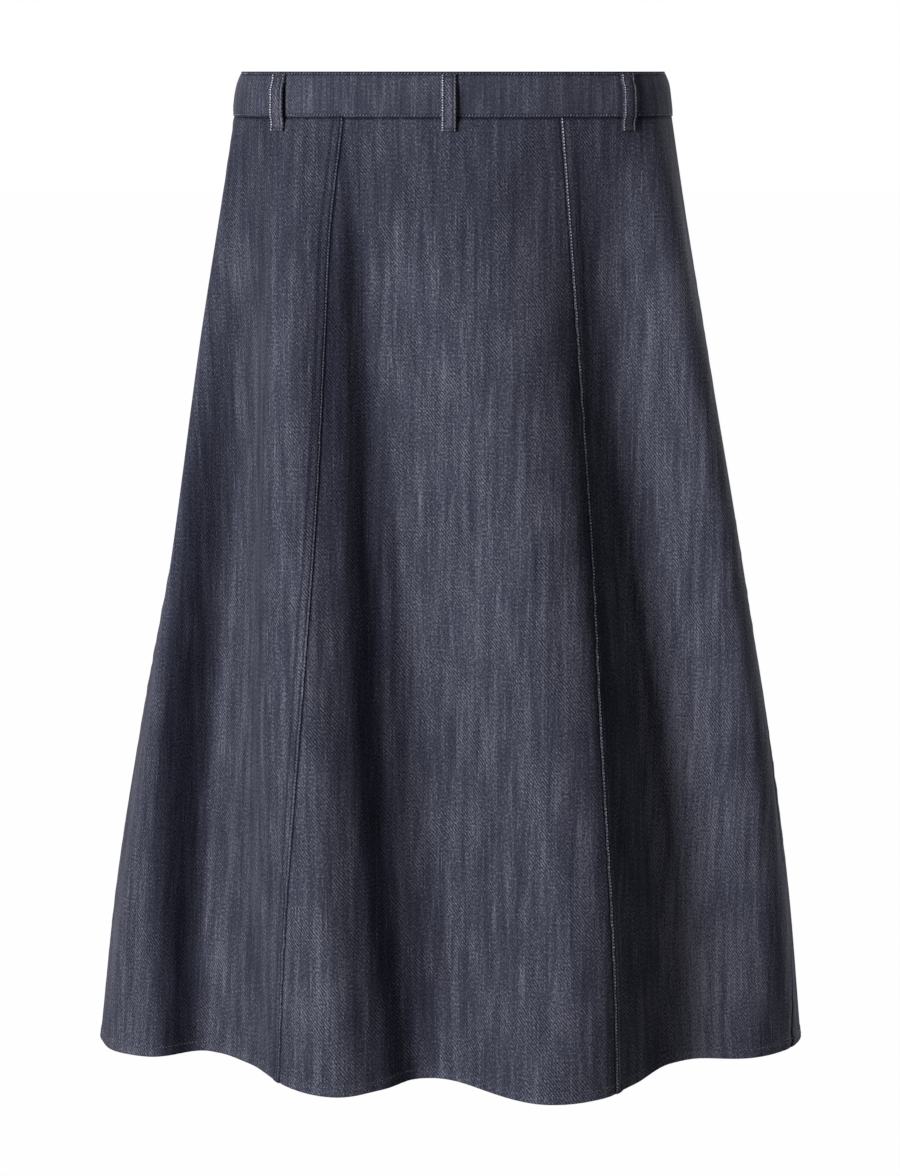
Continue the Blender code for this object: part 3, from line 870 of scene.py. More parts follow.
@dataclass
class Gore:
    """A panel of cloth between two seams, with its own edges and hem."""

    name: str
    number: int
    first_edge: Edge
    last_edge: Edge
    grain: float  # x of the plumb line that the warp follows
    evened: float  # how far the weave is evened out over the folds
    wardrobe: Wardrobe
    hem: Hem = Hem()
    cloth: float = 1.0 * MM
    row_step: float = 5 * MM
    top_rows: tuple[float, ...] = (-1.5, -0.3, 0.3, 0.9, 1.6, 2.6, 5.0)  # mm below the waistband
    unworn: float = 0.10  # how much deeper the colour has stayed at the top
    worn: tuple[float, float] = (0.05, 0.22)  # the drops between which that fades out
    top_painted_shade: Line = Line(-0.45, 0.0, 1.3)  # painted shadow under the waistband's edge, where it is sewn on
    between: int = 84  # columns between the edges' own
    lap_proud: float = 0.9 * MM
    lap_edge: float = 0.5 * MM  # radius of its fold
    first_stitch: float = 1.1 * MM
    second_stitch: float = 7.6 * MM
    lap_end: tuple[float, float] = (8.6 * MM, 12.5 * MM)
    groove: float = 0.28 * MM
    groove_half: float = 0.5 * MM
    allowance: float = 8.4 * MM  # under the lap
    press_depth: float = 1.0 * MM
    press_half: float = 0.7 * MM
    press_rub_and_painted_light: float = 0.10  # worn paler over the pressed allowance, and painted light beside the seam
    press_place: float = 6 * MM
    press_reach: float = 4 * MM
    pucker: float = 0.35 * MM
    pucker_reach: float = 16 * MM

    def seam_turns(self, drop: float) -> list[float]:
        """The turns of its first and its last seam at one height."""
        return [FORM.seam_turn(self.number + side, drop) for side in (0, 1)]

    def columns(self, ring: Ring) -> tuple[Array, Array, Array]:
        """Where the columns stand at one height.

        Args:
            ring: the outside at that height.

        Returns:
            Their turns, and their distances from the first and from the last seam.
        """
        first, last = ring.length_at(self.seam_turns(ring.drop))
        before = first + np.array(self.first_edge.value) * MM
        after = last - np.array(self.last_edge.value)[::-1] * MM
        middle = np.linspace(before[-1], after[0], self.between)
        places = np.concatenate([before, middle[1:-1], after])
        return ring.turn_at(places), places - first, last - places

    def lift(self, edge: Edge, away: Array) -> Array:
        """How far an edge's sewing moves the outside out, by distance from the seam."""
        if edge is Edge.LAPPED:
            fold = np.sqrt(1 - (1 - np.clip(away / self.lap_edge, 0, 1)) ** 2)
            lap = self.lap_proud * (0.35 + 0.65 * fold) * (1 - ramp(away, *self.lap_end))
            stitches = (self.first_stitch, self.second_stitch)
            grooves = sum(near(away, place, self.groove_half) for place in stitches)
            return lap - self.groove * grooves
        if edge is Edge.UNDER:
            return -0.08 * MM * (1 - ramp(away, 0.0, 2 * MM))
        ridge = 0.3 * MM * bell((away - 7 * MM) / (6 * MM))
        return ridge - self.press_depth * np.exp(-away / self.press_half)

    def puckers(self, seam: int, away: Array, drop: float) -> Array:
        """Small uneven ripples where the sewing draws the cloth up, alike on a seam's two sides."""
        seam = seam % (len(SEAMS) - 1)
        wave = (
            math.sin(drop * 390 + seam * 2.1 + 1.9 * math.sin(drop * 57 + seam))
            + 0.7 * math.sin(drop * 233 + seam * 4.7)
        )
        strength = 0.55 + 0.45 * math.sin(drop * 31 + seam * 1.3)
        return self.pucker * wave * strength * near(away, 0.0, self.pucker_reach)

    def wear_and_painted_shading(self, edge: Edge, away: Array) -> Array:
        """How much paler or darker the cloth is beside a seam: worn paler places, painted light
        beside pressed seams, and painted shade in the grooves and under the edges.
        """
        if edge is Edge.UNDER:
            away = np.clip(away, 0, None)
        wear_and_painted_shading = sum(line.at(away) for line in EDGE_LINES[edge])
        if edge is Edge.PRESSED:
            # Worn paler over the allowance, and painted light beside the seam.
            wear_and_painted_shading += self.press_rub_and_painted_light * bell((away - self.press_place) / self.press_reach)
        return wear_and_painted_shading

    def drops(self) -> list[float]:
        """The rows' heights, closer together under the waistband and at the hem."""
        top = [FORM.band_height + row * MM for row in self.top_rows]
        bottom = [FORM.length - row * MM for row in reversed(self.hem.rows)]
        count = round((bottom[0] - top[-1]) / self.row_step)
        return [*top[:-1], *np.linspace(top[-1], bottom[0], count, endpoint=False), *bottom]

    def inside(self, first: Array, last: Array, above: float) -> Array:
        """The inside's offset: one layer down, thicker at the hem, and level under a lap."""
        in_hem = self.hem.share(above, 0.6 * MM)
        plain = -self.cloth - in_hem * (self.hem.thickness - self.cloth - self.hem.proud)
        behind = np.full(len(first), plain)
        for edge, away in ((self.first_edge, first), (self.last_edge, last)):
            if edge is Edge.LAPPED:
                over = 1 - ramp(away, self.allowance, self.allowance + 0.6 * MM)
                behind = behind + over * (0.04 * MM + in_hem * self.hem.proud - plain)
        return behind

    def row(self, drop: float) -> Row:
        """One row of points."""
        ring = FORM.cloth(drop)
        turn, first, last = self.columns(ring)
        above = FORM.length - drop
        in_hem = self.hem.share(above, 1.2 * MM)
        outer = in_hem * (self.hem.proud + self.hem.ripple(ring.length_at(turn), above))
        outer = outer - self.groove * near(above, self.hem.stitch, self.groove_half)
        # Painted light and shade down the folds, plus the turn-up worn paler.
        wear_and_painted_shading = ring.painted_shade_at(turn) + self.hem.wear_and_painted_shading * in_hem
        # Painted shade in the hem's stitch groove.
        wear_and_painted_shading += self.hem.stitch_painted_shade.at(above - self.hem.stitch)
        # Painted shadow under the waistband's edge.
        wear_and_painted_shading += self.top_painted_shade.at(drop - FORM.band_height)
        wear_and_painted_shading -= self.unworn * (1 - float(ramp(drop, *self.worn)))
        inner = self.inside(first, last, above)
        for seam, edge, away in (
            (self.number, self.first_edge, first), (self.number + 1, self.last_edge, last),
        ):
            puckers = self.puckers(seam, away, drop)
            outer = outer + self.lift(edge, away) + puckers
            inner = inner + puckers
            wear_and_painted_shading = wear_and_painted_shading + self.wear_and_painted_shading(edge, away)
        round_off = math.sqrt(1 - (1 - min(above / (1.1 * MM), 1.0)) ** 2)
        pinch = (1 - (0.25 + 0.75 * round_off)) / 2 * (outer - inner)
        weave = on_cloth(self.across(ring, turn), drop, float(self.number))
        return Row(ring.place(turn, outer - pinch), ring.place(turn, inner + pinch), weave, wear_and_painted_shading)

    def across(self, ring: Ring, turn: Array) -> Array:
        """Places on the cloth from the gore's plumb line, across the warp.

        They lie between the girth with its folds and the girth without, so that the weave keeps
        about its scale on the steep sides of the folds and its warp hangs nearly plumb.

        Args:
            ring: the outside at one height.
            turn: the places as turns.

        Returns:
            Metres from the plumb line.
        """
        first, last = self.seam_turns(ring.drop)
        within = (ring.turns >= first) & (ring.turns <= last)
        aside, turns = ring.points[within, 0], ring.turns[within]
        order = np.argsort(aside)
        line = np.interp(self.grain, aside[order], turns[order])
        folded = ring.length_at(turn) - ring.length_at(line)
        even = ring.even_length_at(turn) - ring.even_length_at(line)
        return self.evened * even + (1 - self.evened) * folded

    def flat_size(self) -> tuple[float, float, float]:
        """The width, length and area of the cloth that shows, laid flat."""
        widths, middles = [], []
        for drop in np.linspace(FORM.band_height, FORM.length, 40):
            ring = FORM.cloth(drop)
            ends = self.seam_turns(drop)
            widths.append(float(np.diff(ring.length_at(ends))[0]))
            middles.append(ring.place(sum(ends) / 2, 0.0))
        steps = np.linalg.norm(np.diff(middles, axis=0), axis=1)
        area = float(np.sum(steps * (np.array(widths[:-1]) + widths[1:]) / 2))
        return max(widths), float(steps.sum()), area

    def build(self) -> Object:
        """Make the gore in place of its solid."""
        rows = [self.row(drop) for drop in self.drops()]
        mesh = shell_mesh(self.name, rows, self.wardrobe.denim, self.wardrobe.reverse)
        gore = dress(f"{self.name}_cloth", mesh, self.name)
        width, length, area = self.flat_size()
        log.info("%s: %.0f by %.0f mm flat", gore.name, width / MM, length / MM)
        return gore


# Each gore's edges, the x of its plumb line, and how far its weave is evened out, which is less
# at the front, where the folds are shallow.
GORES = {
    "back_centre_gore": (Edge.UNDER, Edge.UNDER, 0.0, 0.85),
    "back_right_gore": (Edge.LAPPED, Edge.PRESSED, 0.14, 0.85),
    "front_right_gore": (Edge.PRESSED, Edge.LAPPED, 0.14, 0.3),
    "front_centre_gore": (Edge.UNDER, Edge.UNDER, 0.0, 0.3),
    "front_left_gore": (Edge.LAPPED, Edge.PRESSED, -0.14, 0.3),
    "back_left_gore": (Edge.PRESSED, Edge.LAPPED, -0.14, 0.85),
}


# Waistband ------------------------------------------------------------------------------------


@dataclass
class Waistband:
    """A straight band folded double, open at the zip, edge-stitched at its top and its seam."""

    wardrobe: Wardrobe
    zip_gap: float = 1.6 * MM
    thickness: float = 2.4 * MM
    columns: int = 520
    lean_drops: tuple[float, ...] = (1.4 * MM, 8 * MM, 14 * MM, 20 * MM, 27 * MM, 33.7 * MM)
    leans: tuple[float, ...] = (-6.0 * MM, -3.2 * MM, -1.8 * MM, -0.9 * MM, -0.1 * MM, 0.0)
    top_stitch: float = 1.5 * MM
    seam_stitch: float = 1.8 * MM  # above the band's lower edge
    groove: float = 0.22 * MM
    swell: float = 0.35 * MM
    lower_edge: float = 33.7 * MM
    rubbed_and_painted_light: float = 0.12  # painted light over the right hip, where the band turns from the key light
    painted_light_turn: float = 46.0
    painted_light_reach: float = 34.0
    # Painted shade in the grooves of the top and the seam rows of stitches.
    top_painted_shade: Line = Line(-0.45, 0.0, 1.2)
    seam_painted_shade: Line = Line(-0.30, 0.0, 0.9)

    def ring(self, drop: float) -> Ring:
        """The band's outside at one height, leaning in, without its sewing."""
        within = min(max(drop, self.lean_drops[0]), self.lean_drops[-1])
        return FORM.band(drop, smooth(self.lean_drops, self.leans, within))

    def ends(self) -> tuple[float, float]:
        """The turns of its two ends."""
        half = math.degrees(self.zip_gap / 2 / SECTIONS[0].back)
        return ZIP_TURN + half, ZIP_TURN + 360 - half

    def stitch_drops(self) -> tuple[float, float]:
        """The heights of its two rows of stitches."""
        return self.top_stitch, FORM.band_height - self.seam_stitch

    def drops(self) -> Array:
        """The rows' heights, closer together at the edges and stitches."""
        top = [0, 0.08, 0.25, 0.5, 0.8, 1.15, 1.5, 1.9, 2.5, 3.5]
        bottom = [29.5, 30.6, 31.2, 31.6, 31.9, 32.2, 32.6, 33.0, 33.3, 33.5, 33.65, 33.7]
        return np.array([*top, *np.linspace(5, 28, 12), *bottom]) * MM

    def relief(self, place: Array, drop: float) -> Array:
        """Soft swells between the stitch rows, and the rows' grooves."""
        grooves = sum(near(drop, row, 0.45 * MM) for row in self.stitch_drops())
        swell = 0.6 * np.sin(place * 95 + 1.2 * np.sin(place * 23))
        swell = swell + 0.6 * np.sin(place * 41 + drop * 60)
        middle = math.sin(math.pi * min(max(drop / FORM.band_height, 0), 1))
        tug = 0.12 * MM * np.sin(2 * np.pi * place / (7.5 * MM) + 2 * np.sin(place * 37))
        near_edge = near(drop, FORM.band_height, 5 * MM) + near(drop, 0.0, 4 * MM)
        return self.swell * swell * middle + tug * near_edge - self.groove * grooves

    def row(self, drop: float) -> Row:
        """One row of points."""
        ring = self.ring(drop)
        places = np.linspace(*ring.length_at(self.ends()), self.columns)
        turn = ring.turn_at(places)
        from_edge = min(drop / (1.2 * MM), (FORM.band_height - 0.3 * MM - drop) / (0.5 * MM), 1.0)
        rounded = 0.12 + 0.88 * math.sqrt(1 - (1 - max(from_edge, 0)) ** 2)
        half = self.thickness / 2 * rounded
        outer = -self.thickness / 2 + half + self.relief(places, drop)
        inner = np.full(len(turn), -self.thickness / 2 - half)
        top, seam = self.stitch_drops()
        # Painted light over the right hip.
        wear_and_painted_shading = self.rubbed_and_painted_light * bell((turn - self.painted_light_turn) / self.painted_light_reach)
        # Painted shade in the grooves of both rows of stitches.
        wear_and_painted_shading += self.top_painted_shade.at(drop - top) + self.seam_painted_shade.at(drop - seam)
        weave = on_cloth(self.ring(FORM.band_height).length_at(turn), drop, BAND_LAYER)
        return Row(ring.place(turn, outer), ring.place(turn, inner), weave, wear_and_painted_shading)

    def build(self) -> Object:
        """Make the waistband in place of its solid."""
        rows = [self.row(drop) for drop in self.drops()]
        mesh = shell_mesh("waistband", rows, self.wardrobe.interlined, self.wardrobe.interlined)
        band = dress("waistband_cloth", mesh, "waistband")
        ends = self.ring(FORM.band_height / 2).length_at(self.ends())
        round_waist = float(np.diff(ends)[0])
        log.info("%s: %.0f mm round", band.name, round_waist / MM)
        return band


# Belt loops -----------------------------------------------------------------------------------


@dataclass
class BeltLoop:
    """A narrow strip folded in three, stitched down both edges and tacked at both ends."""

    node: str
    number: int
    turn: float
    wardrobe: Wardrobe
    band: Waistband
    width: float = 11 * MM
    wall: float = 3 * MM
    top_drop: float = 1.8 * MM
    foot_drop: float = 44 * MM
    bow: float = 2.4 * MM
    tack: float = 3.5 * MM
    rise: float = 9 * MM
    gap: float = 0.3 * MM
    span: float = 1 * MM  # how far above and below it clears the cloth
    edge_radius: float = 0.9 * MM
    channel: float = 3.3 * MM  # from its middle to the sunken line beside each rolled edge
    stitch: float = 4.5 * MM  # from its middle to the stitches that bind the edge
    groove: float = 0.4 * MM
    bound_line: Line = Line(0.14, 4.5, 0.8)
    # Painted shade in the sunken channel beside each rolled edge.
    channel_painted_shade: Line = Line(-0.35, 3.3, 0.45)
    rows: int = 62

    def across(self) -> Array:
        """The columns' distances from the loop's middle."""
        half = (0, 1.1, 2.1, 2.7, 3.0, 3.15, 3.3, 3.45, 3.6, 3.9, 4.3, 4.7, 5.0, 5.25, 5.42, 5.5)
        half = np.array(half) * MM
        return np.concatenate([-half[:0:-1], half])

    def from_end(self, drop: float) -> float:
        """How far a height is from the nearer end."""
        return min(drop - self.top_drop, self.foot_drop - drop)

    def path(self, drop: float) -> tuple[Array, Array, Array]:
        """The strip's inside at one height, clear of whichever cloth is outermost there.

        Args:
            drop: the height.

        Returns:
            Its middle point, the direction across it and the direction out of it.
        """
        seam_ring = FORM.band(self.band.lower_edge, 0.0)
        centre, outward = seam_ring.spot(self.turn, 0.0)
        side = np.array([-outward[1], outward[0], 0.0])
        edges = np.array([-0.5, 0.0, 0.5]) * self.width
        turn = self.turn + np.degrees(edges / np.linalg.norm(centre[:2]))
        stands = []
        for at in (drop - self.span, drop, drop + self.span):
            ring = self.band.ring(at) if at < FORM.band_height else FORM.cloth(at)
            stands.append(float(((ring.place(turn, np.zeros(3)) - centre) @ outward).max()))
        bowed = self.bow * float(ramp(self.from_end(drop), self.tack, self.tack + self.rise))
        middle = centre + outward * (max(stands) + self.gap + bowed)
        middle[2] = FORM.band_height / 2 - drop
        return middle, side, outward

    def heights(self) -> Array:
        """The rows' drops, closer together at both ends."""
        share = np.linspace(0, 1, self.rows)
        share = share - 0.12 * np.sin(2 * np.pi * share)
        return self.top_drop + share * (self.foot_drop - self.top_drop)

    def row(self, drop: float) -> Row:
        """One row of points."""
        across = self.across()
        away = np.abs(across)
        radius = self.edge_radius
        overhang = np.clip(away - (self.width / 2 - radius), 0, radius)
        corner = radius - np.sqrt(radius ** 2 - overhang ** 2)
        from_end = self.from_end(drop)
        tip = radius * (1 - math.sqrt(1 - (1 - min(from_end / radius, 1)) ** 2)) * 0.9
        rounding = np.maximum(corner, tip)
        tacked = 1 - float(ramp(from_end, 2.2 * MM, 3.6 * MM))
        pillow = 0.18 * MM * bell(away / self.channel) * (1 - tacked)
        groove = self.groove * near(away, self.channel, 0.35 * MM)
        front = self.wall - rounding - groove + pillow - 0.2 * MM * tacked
        back = np.minimum(rounding, front - 0.15 * MM)
        # Worn paler bound edges, and painted shade in the channels.
        wear_and_painted_shading = self.bound_line.at(away) + self.channel_painted_shade.at(away)
        middle, side, outward = self.path(drop)
        base = middle + side * across[:, None]
        weave = on_cloth(across, drop, LOOP_LAYER + self.number)
        return Row(base + outward * front[:, None], base + outward * back[:, None], weave, wear_and_painted_shading)

    def build(self) -> Object:
        """Make the loop in place of its solid."""
        rows = [self.row(drop) for drop in self.heights()]
        mesh = shell_mesh(self.node, rows, self.wardrobe.denim, self.wardrobe.denim)
        loop = dress(f"{self.node}_cloth", mesh, self.node)
        log.info("%s: sewn at turn %.0f", loop.name, self.turn)
        return loop

    def stitch_rows(self) -> list["StitchPath"]:
        """A row down each side of the loop."""
        rows = []
        for side_sign in (-1, 1):
            places = []
            for drop in np.linspace(self.top_drop + 1 * MM, self.foot_drop - 1 * MM, 44):
                middle, side, outward = self.path(drop)
                aside = side * (side_sign * self.stitch)
                places.append((middle + aside + outward * (self.wall - 0.02 * MM), outward))
            rows.append(StitchPath.along(places))
        return rows

    def tack_rows(self) -> list["StitchPath"]:
        """The bar tacks across both ends."""
        rows = []
        for drop in (self.top_drop + 1.9 * MM, self.foot_drop - 1.9 * MM):
            middle, side, outward = self.path(drop)
            across = np.linspace(-0.5, 0.5, 6)[:, None] * (self.width - 1.2 * MM)
            points = middle + side * across + outward * (self.wall - 0.12 * MM)
            rows.append(StitchPath(points, np.repeat(outward[None], 6, axis=0)))
        return rows


LOOP_TURNS = {
    "back_left": -51.0,
    "back_centre": -1.1,
    "back_right": 51.0,
    "front_right": 137.0,
    "front_left": 223.0,
}


# Sewing ---------------------------------------------------------------------------------------


class StitchPath(NamedTuple):
    """A line that stitches follow, and the cloth's outward direction along it."""

    points: Array
    outward: Array

    @classmethod
    def along(cls, places: Sequence[tuple[Array, Array]]) -> "StitchPath":
        """A path through points, each given with its outward direction."""
        return cls(*(np.array(part) for part in zip(*places)))


@dataclass(frozen=True)
class Stitching:
    """Rows of stitches laid by Geometry Nodes along their paths."""

    name: str
    pitch: float
    size: tuple[float, float, float]  # a stitch's length, width and height in millimetres
    slant: float = 0.0  # degrees each stitch leans from its row
    stray: float = 3.0  # degrees of unevenness
    seed: int = 5
    slot: str = "denim"

    def tree(self) -> NodeTree:
        """The node tree that turns a path into stitches, with its sizes as named inputs."""
        tree = bpy.data.node_groups.new(f"{self.name}_nodes", "GeometryNodeTree")
        for name, kind in (
            ("Geometry", "Geometry"), ("Pitch", "Float"), ("Slant", "Float"), ("Stray", "Float"),
            ("Size", "Vector"), ("Seed", "Int"), ("Material", "Material"),
        ):
            tree.interface.new_socket(name, in_out="INPUT", socket_type=f"NodeSocket{kind}")
        tree.interface.new_socket("Geometry", in_out="OUTPUT", socket_type="NodeSocketGeometry")
        nodes = Nodes(tree)
        given = nodes.add("NodeGroupInput").outputs

        def drawn(low: object, high: object, kind: str) -> NodeSocket:
            """A random value for each stitch between two bounds, from the given seed."""
            first, place = {"FLOAT": (2, 1), "FLOAT_VECTOR": (0, 0)}[kind]
            bounds = {first: low, first + 1: high, "Seed": given["Seed"]}
            return nodes.value("FunctionNodeRandomValue", bounds, place, data_type=kind)

        curve = nodes.value("GeometryNodeMeshToCurve", {"Mesh": given["Geometry"]})
        evenly = {"Curve": curve, "Length": given["Pitch"]}
        evenly = nodes.value("GeometryNodeResampleCurve", evenly, mode="LENGTH")
        bead = {"Segments": 6, "Rings": 5, "Radius": 0.5}
        bead = nodes.value("GeometryNodeMeshUVSphere", bead)
        stitch = {"Geometry": bead, "Scale": given["Size"]}
        stitch = nodes.value("GeometryNodeTransform", stitch)
        outward = {"Name": "outward"}
        outward = nodes.value("GeometryNodeInputNamedAttribute", outward, data_type="FLOAT_VECTOR")
        along = nodes.value("GeometryNodeInputTangent")
        axes = {"primary_axis": "X", "secondary_axis": "Z"}
        laid = nodes.value("FunctionNodeAxesToRotation", {0: along, 1: outward}, **axes)
        lean = drawn(-1.0, 1.0, "FLOAT")
        lean = nodes.math("MULTIPLY_ADD", lean, given["Stray"], given["Slant"])
        twist = nodes.value("ShaderNodeCombineXYZ", {"Z": lean})
        twist = {0: laid, 1: nodes.value("FunctionNodeEulerToRotation", {0: twist})}
        turned = nodes.value("FunctionNodeRotateRotation", twist, rotation_space="LOCAL")
        plump = drawn((0.86, 0.85, 0.8), (1.06, 1.15, 1.2), "FLOAT_VECTOR")
        placed = {"Points": evenly, "Instance": stitch, "Rotation": turned, "Scale": plump}
        placed = nodes.value("GeometryNodeInstanceOnPoints", placed)
        shaded = {"Geometry": placed, "Name": "shade", "Value": drawn(0.0, 1.0, "FLOAT")}
        store = {"data_type": "FLOAT", "domain": "INSTANCE"}
        shaded = nodes.value("GeometryNodeStoreNamedAttribute", shaded, **store)
        real = nodes.value("GeometryNodeRealizeInstances", {0: shaded})
        soft = nodes.value("GeometryNodeSetShadeSmooth", {0: real})
        dressed = {"Geometry": soft, "Material": given["Material"]}
        dressed = nodes.value("GeometryNodeSetMaterial", dressed)
        nodes.add("NodeGroupOutput", {0: dressed})
        return tree

    def build(self, paths: Sequence[StitchPath], thread: Material) -> Object:
        """Lay the stitches and keep them as a plain mesh.

        Args:
            paths: the rows.
            thread: the stitches' material.

        Returns:
            The finished object.
        """
        points = np.concatenate([path.points for path in paths])
        edges, start = [], 0
        for path in paths:
            edges += [(i, i + 1) for i in range(start, start + len(path.points) - 1)]
            start += len(path.points)
        mesh = bpy.data.meshes.new(self.name)
        mesh.from_pydata(points.tolist(), edges, [])
        set_attribute(mesh, "outward", np.concatenate([path.outward for path in paths]))
        rows = add_object(self.name, mesh)
        laying = rows.modifiers.new("Stitches", "NODES")
        laying.node_group = self.tree()
        sockets = {item.name: item.identifier for item in laying.node_group.interface.items_tree}
        laying[sockets["Pitch"]] = self.pitch
        laying[sockets["Slant"]] = math.radians(self.slant)
        laying[sockets["Stray"]] = math.radians(self.stray)
        laying[sockets["Size"]] = tuple(size * MM for size in self.size)
        laying[sockets["Seed"]] = self.seed
        laying[sockets["Material"]] = thread
        graph = bpy.context.evaluated_depsgraph_get()
        finished = bpy.data.meshes.new_from_object(rows.evaluated_get(graph))
        rows.modifiers.clear()
        rows.data = finished
        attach(rows, SKIRT)
        log.info("%s: %d rows, %d faces", self.name, len(paths), len(finished.polygons))
        return rows


@dataclass
class Sewing:
    """Every visible row of stitches."""

    wardrobe: Wardrobe
    band: Waistband
    side_gore: Gore
    loops: Sequence[BeltLoop]
    pitch: float = 2.4 * MM
    path_step: float = 4 * MM
    lapped: tuple = ((6, -1), (1, 1), (3, -1), (4, 1))  # seams, each with its lap's side
    bright: tuple[int, int] = (1, 1)  # the seam whose first row has thread with a painted highlight
    lap_reach: float = 0.03  # how far a lap lifts the hem's row
    hem_turns: tuple[float, float, float] = (-28.0, 332.2, 0.6)  # first, last and step

    def seam_path(self, seam: int, away: float, out: float) -> StitchPath:
        """A row beside a seam.

        Args:
            seam: the seam's number.
            away: metres from the seam, towards larger turns if above 0.
            out: metres out from the cloth.

        Returns:
            The row's path.
        """
        gore = self.side_gore
        places = []
        for drop in np.arange(FORM.band_height + 1 * MM, FORM.length - 1 * MM, self.path_step):
            ring = FORM.cloth(round(float(drop), 6))
            turn = ring.turn_at(ring.length_at(FORM.seam_turn(seam, drop)) + away)
            pucker = gore.puckers(seam, abs(away), drop)
            hem = gore.hem.share(FORM.length - drop, 1 * MM) * gore.hem.proud
            places.append(ring.spot(turn, out + pucker + hem))
        return StitchPath.along(places)

    def princess(self) -> None:
        """Two rows down each lapped seam: beside the fold, and a navy one over the allowance; the
        back right seam's first row has thread with a painted highlight.
        """
        gore, wardrobe = self.side_gore, self.wardrobe
        out = gore.lap_proud - gore.groove + 0.12 * MM
        plain = [seam for seam in self.lapped if seam != self.bright]
        first, second = gore.first_stitch, gore.second_stitch
        for name, seams, away, length, width, thread in (
            ("back_right_seam_stitches", [self.bright], first, 1.6, 0.85, wardrobe.bright_thread),
            ("princess_stitches", plain, first, 1.8, 0.48, wardrobe.thread),
            ("allowance_stitches", self.lapped, second, 2.1, 0.5, wardrobe.navy_thread),
        ):
            paths = [self.seam_path(seam, side * away, out) for seam, side in seams]
            Stitching(name, self.pitch, (length, width, 0.42), slant=4).build(paths, thread)

    def hem(self) -> Object:
        """One row round the hem."""
        gore, hem = self.side_gore, self.side_gore.hem
        ring = FORM.cloth(FORM.length - hem.stitch)
        turn = np.arange(*self.hem_turns)
        lift = np.full(len(turn), hem.proud - gore.groove + 0.14 * MM)
        for seam, side in self.lapped:
            at = float(ring.length_at(FORM.seam_turn(seam, ring.drop)))
            away = (ring.length_at(turn) - at) * side
            lap = gore.lap_proud * (1 - ramp(away, *gore.lap_end))
            lift += np.where(away >= 0, lap, 0.0) * (away < self.lap_reach)
        path = StitchPath(*ring.spot(turn, lift))
        stitching = Stitching("hem_stitches", self.pitch, (2.0, 0.42, 0.36), slant=5)
        return stitching.build([path], self.wardrobe.thread)

    def waistband(self) -> Object:
        """Rows close to the band's top edge and just above its seam."""
        paths = []
        for drop in self.band.stitch_drops():
            ring = self.band.ring(drop)
            places = np.arange(*ring.length_at(self.band.ends()), 2.5 * MM)
            turn = ring.turn_at(places)
            out = self.band.relief(places, drop) + 0.10 * MM
            paths.append(StitchPath(*ring.spot(turn, out)))
        size = (2.1, 0.56, 0.42)
        stitching = Stitching("waistband_stitches", self.pitch, size, slant=36, stray=12)
        return stitching.build(paths, self.wardrobe.thread)

    def belt_loops(self) -> None:
        """A row in thread with a painted highlight down each loop's left edge, where the key light
        falls, a plain one on its right, and its tacks.
        """
        left, right = zip(*(loop.stitch_rows() for loop in self.loops))
        tacks = [path for loop in self.loops for path in loop.tack_rows()]
        for name, pitch, size, slant, stray, paths, thread in (
            ("painted_highlight_stitches", 1.8 * MM, (1.8, 0.8, 0.5), 46, 12, left, self.wardrobe.bright_thread),
            ("stitches", self.pitch, (2.2, 0.50, 0.42), 12, 3, right, self.wardrobe.thread),
            ("tacks", 0.55 * MM, (2.3, 0.42, 0.5), 82, 6, tacks, self.wardrobe.navy_thread),
        ):
            Stitching(f"belt_loop_{name}", pitch, size, slant, stray).build(paths, thread)

    def build(self) -> None:
        """Sew everything."""
        self.princess()
        self.hem()
        self.waistband()
        self.belt_loops()


# Zip ------------------------------------------------------------------------------------------


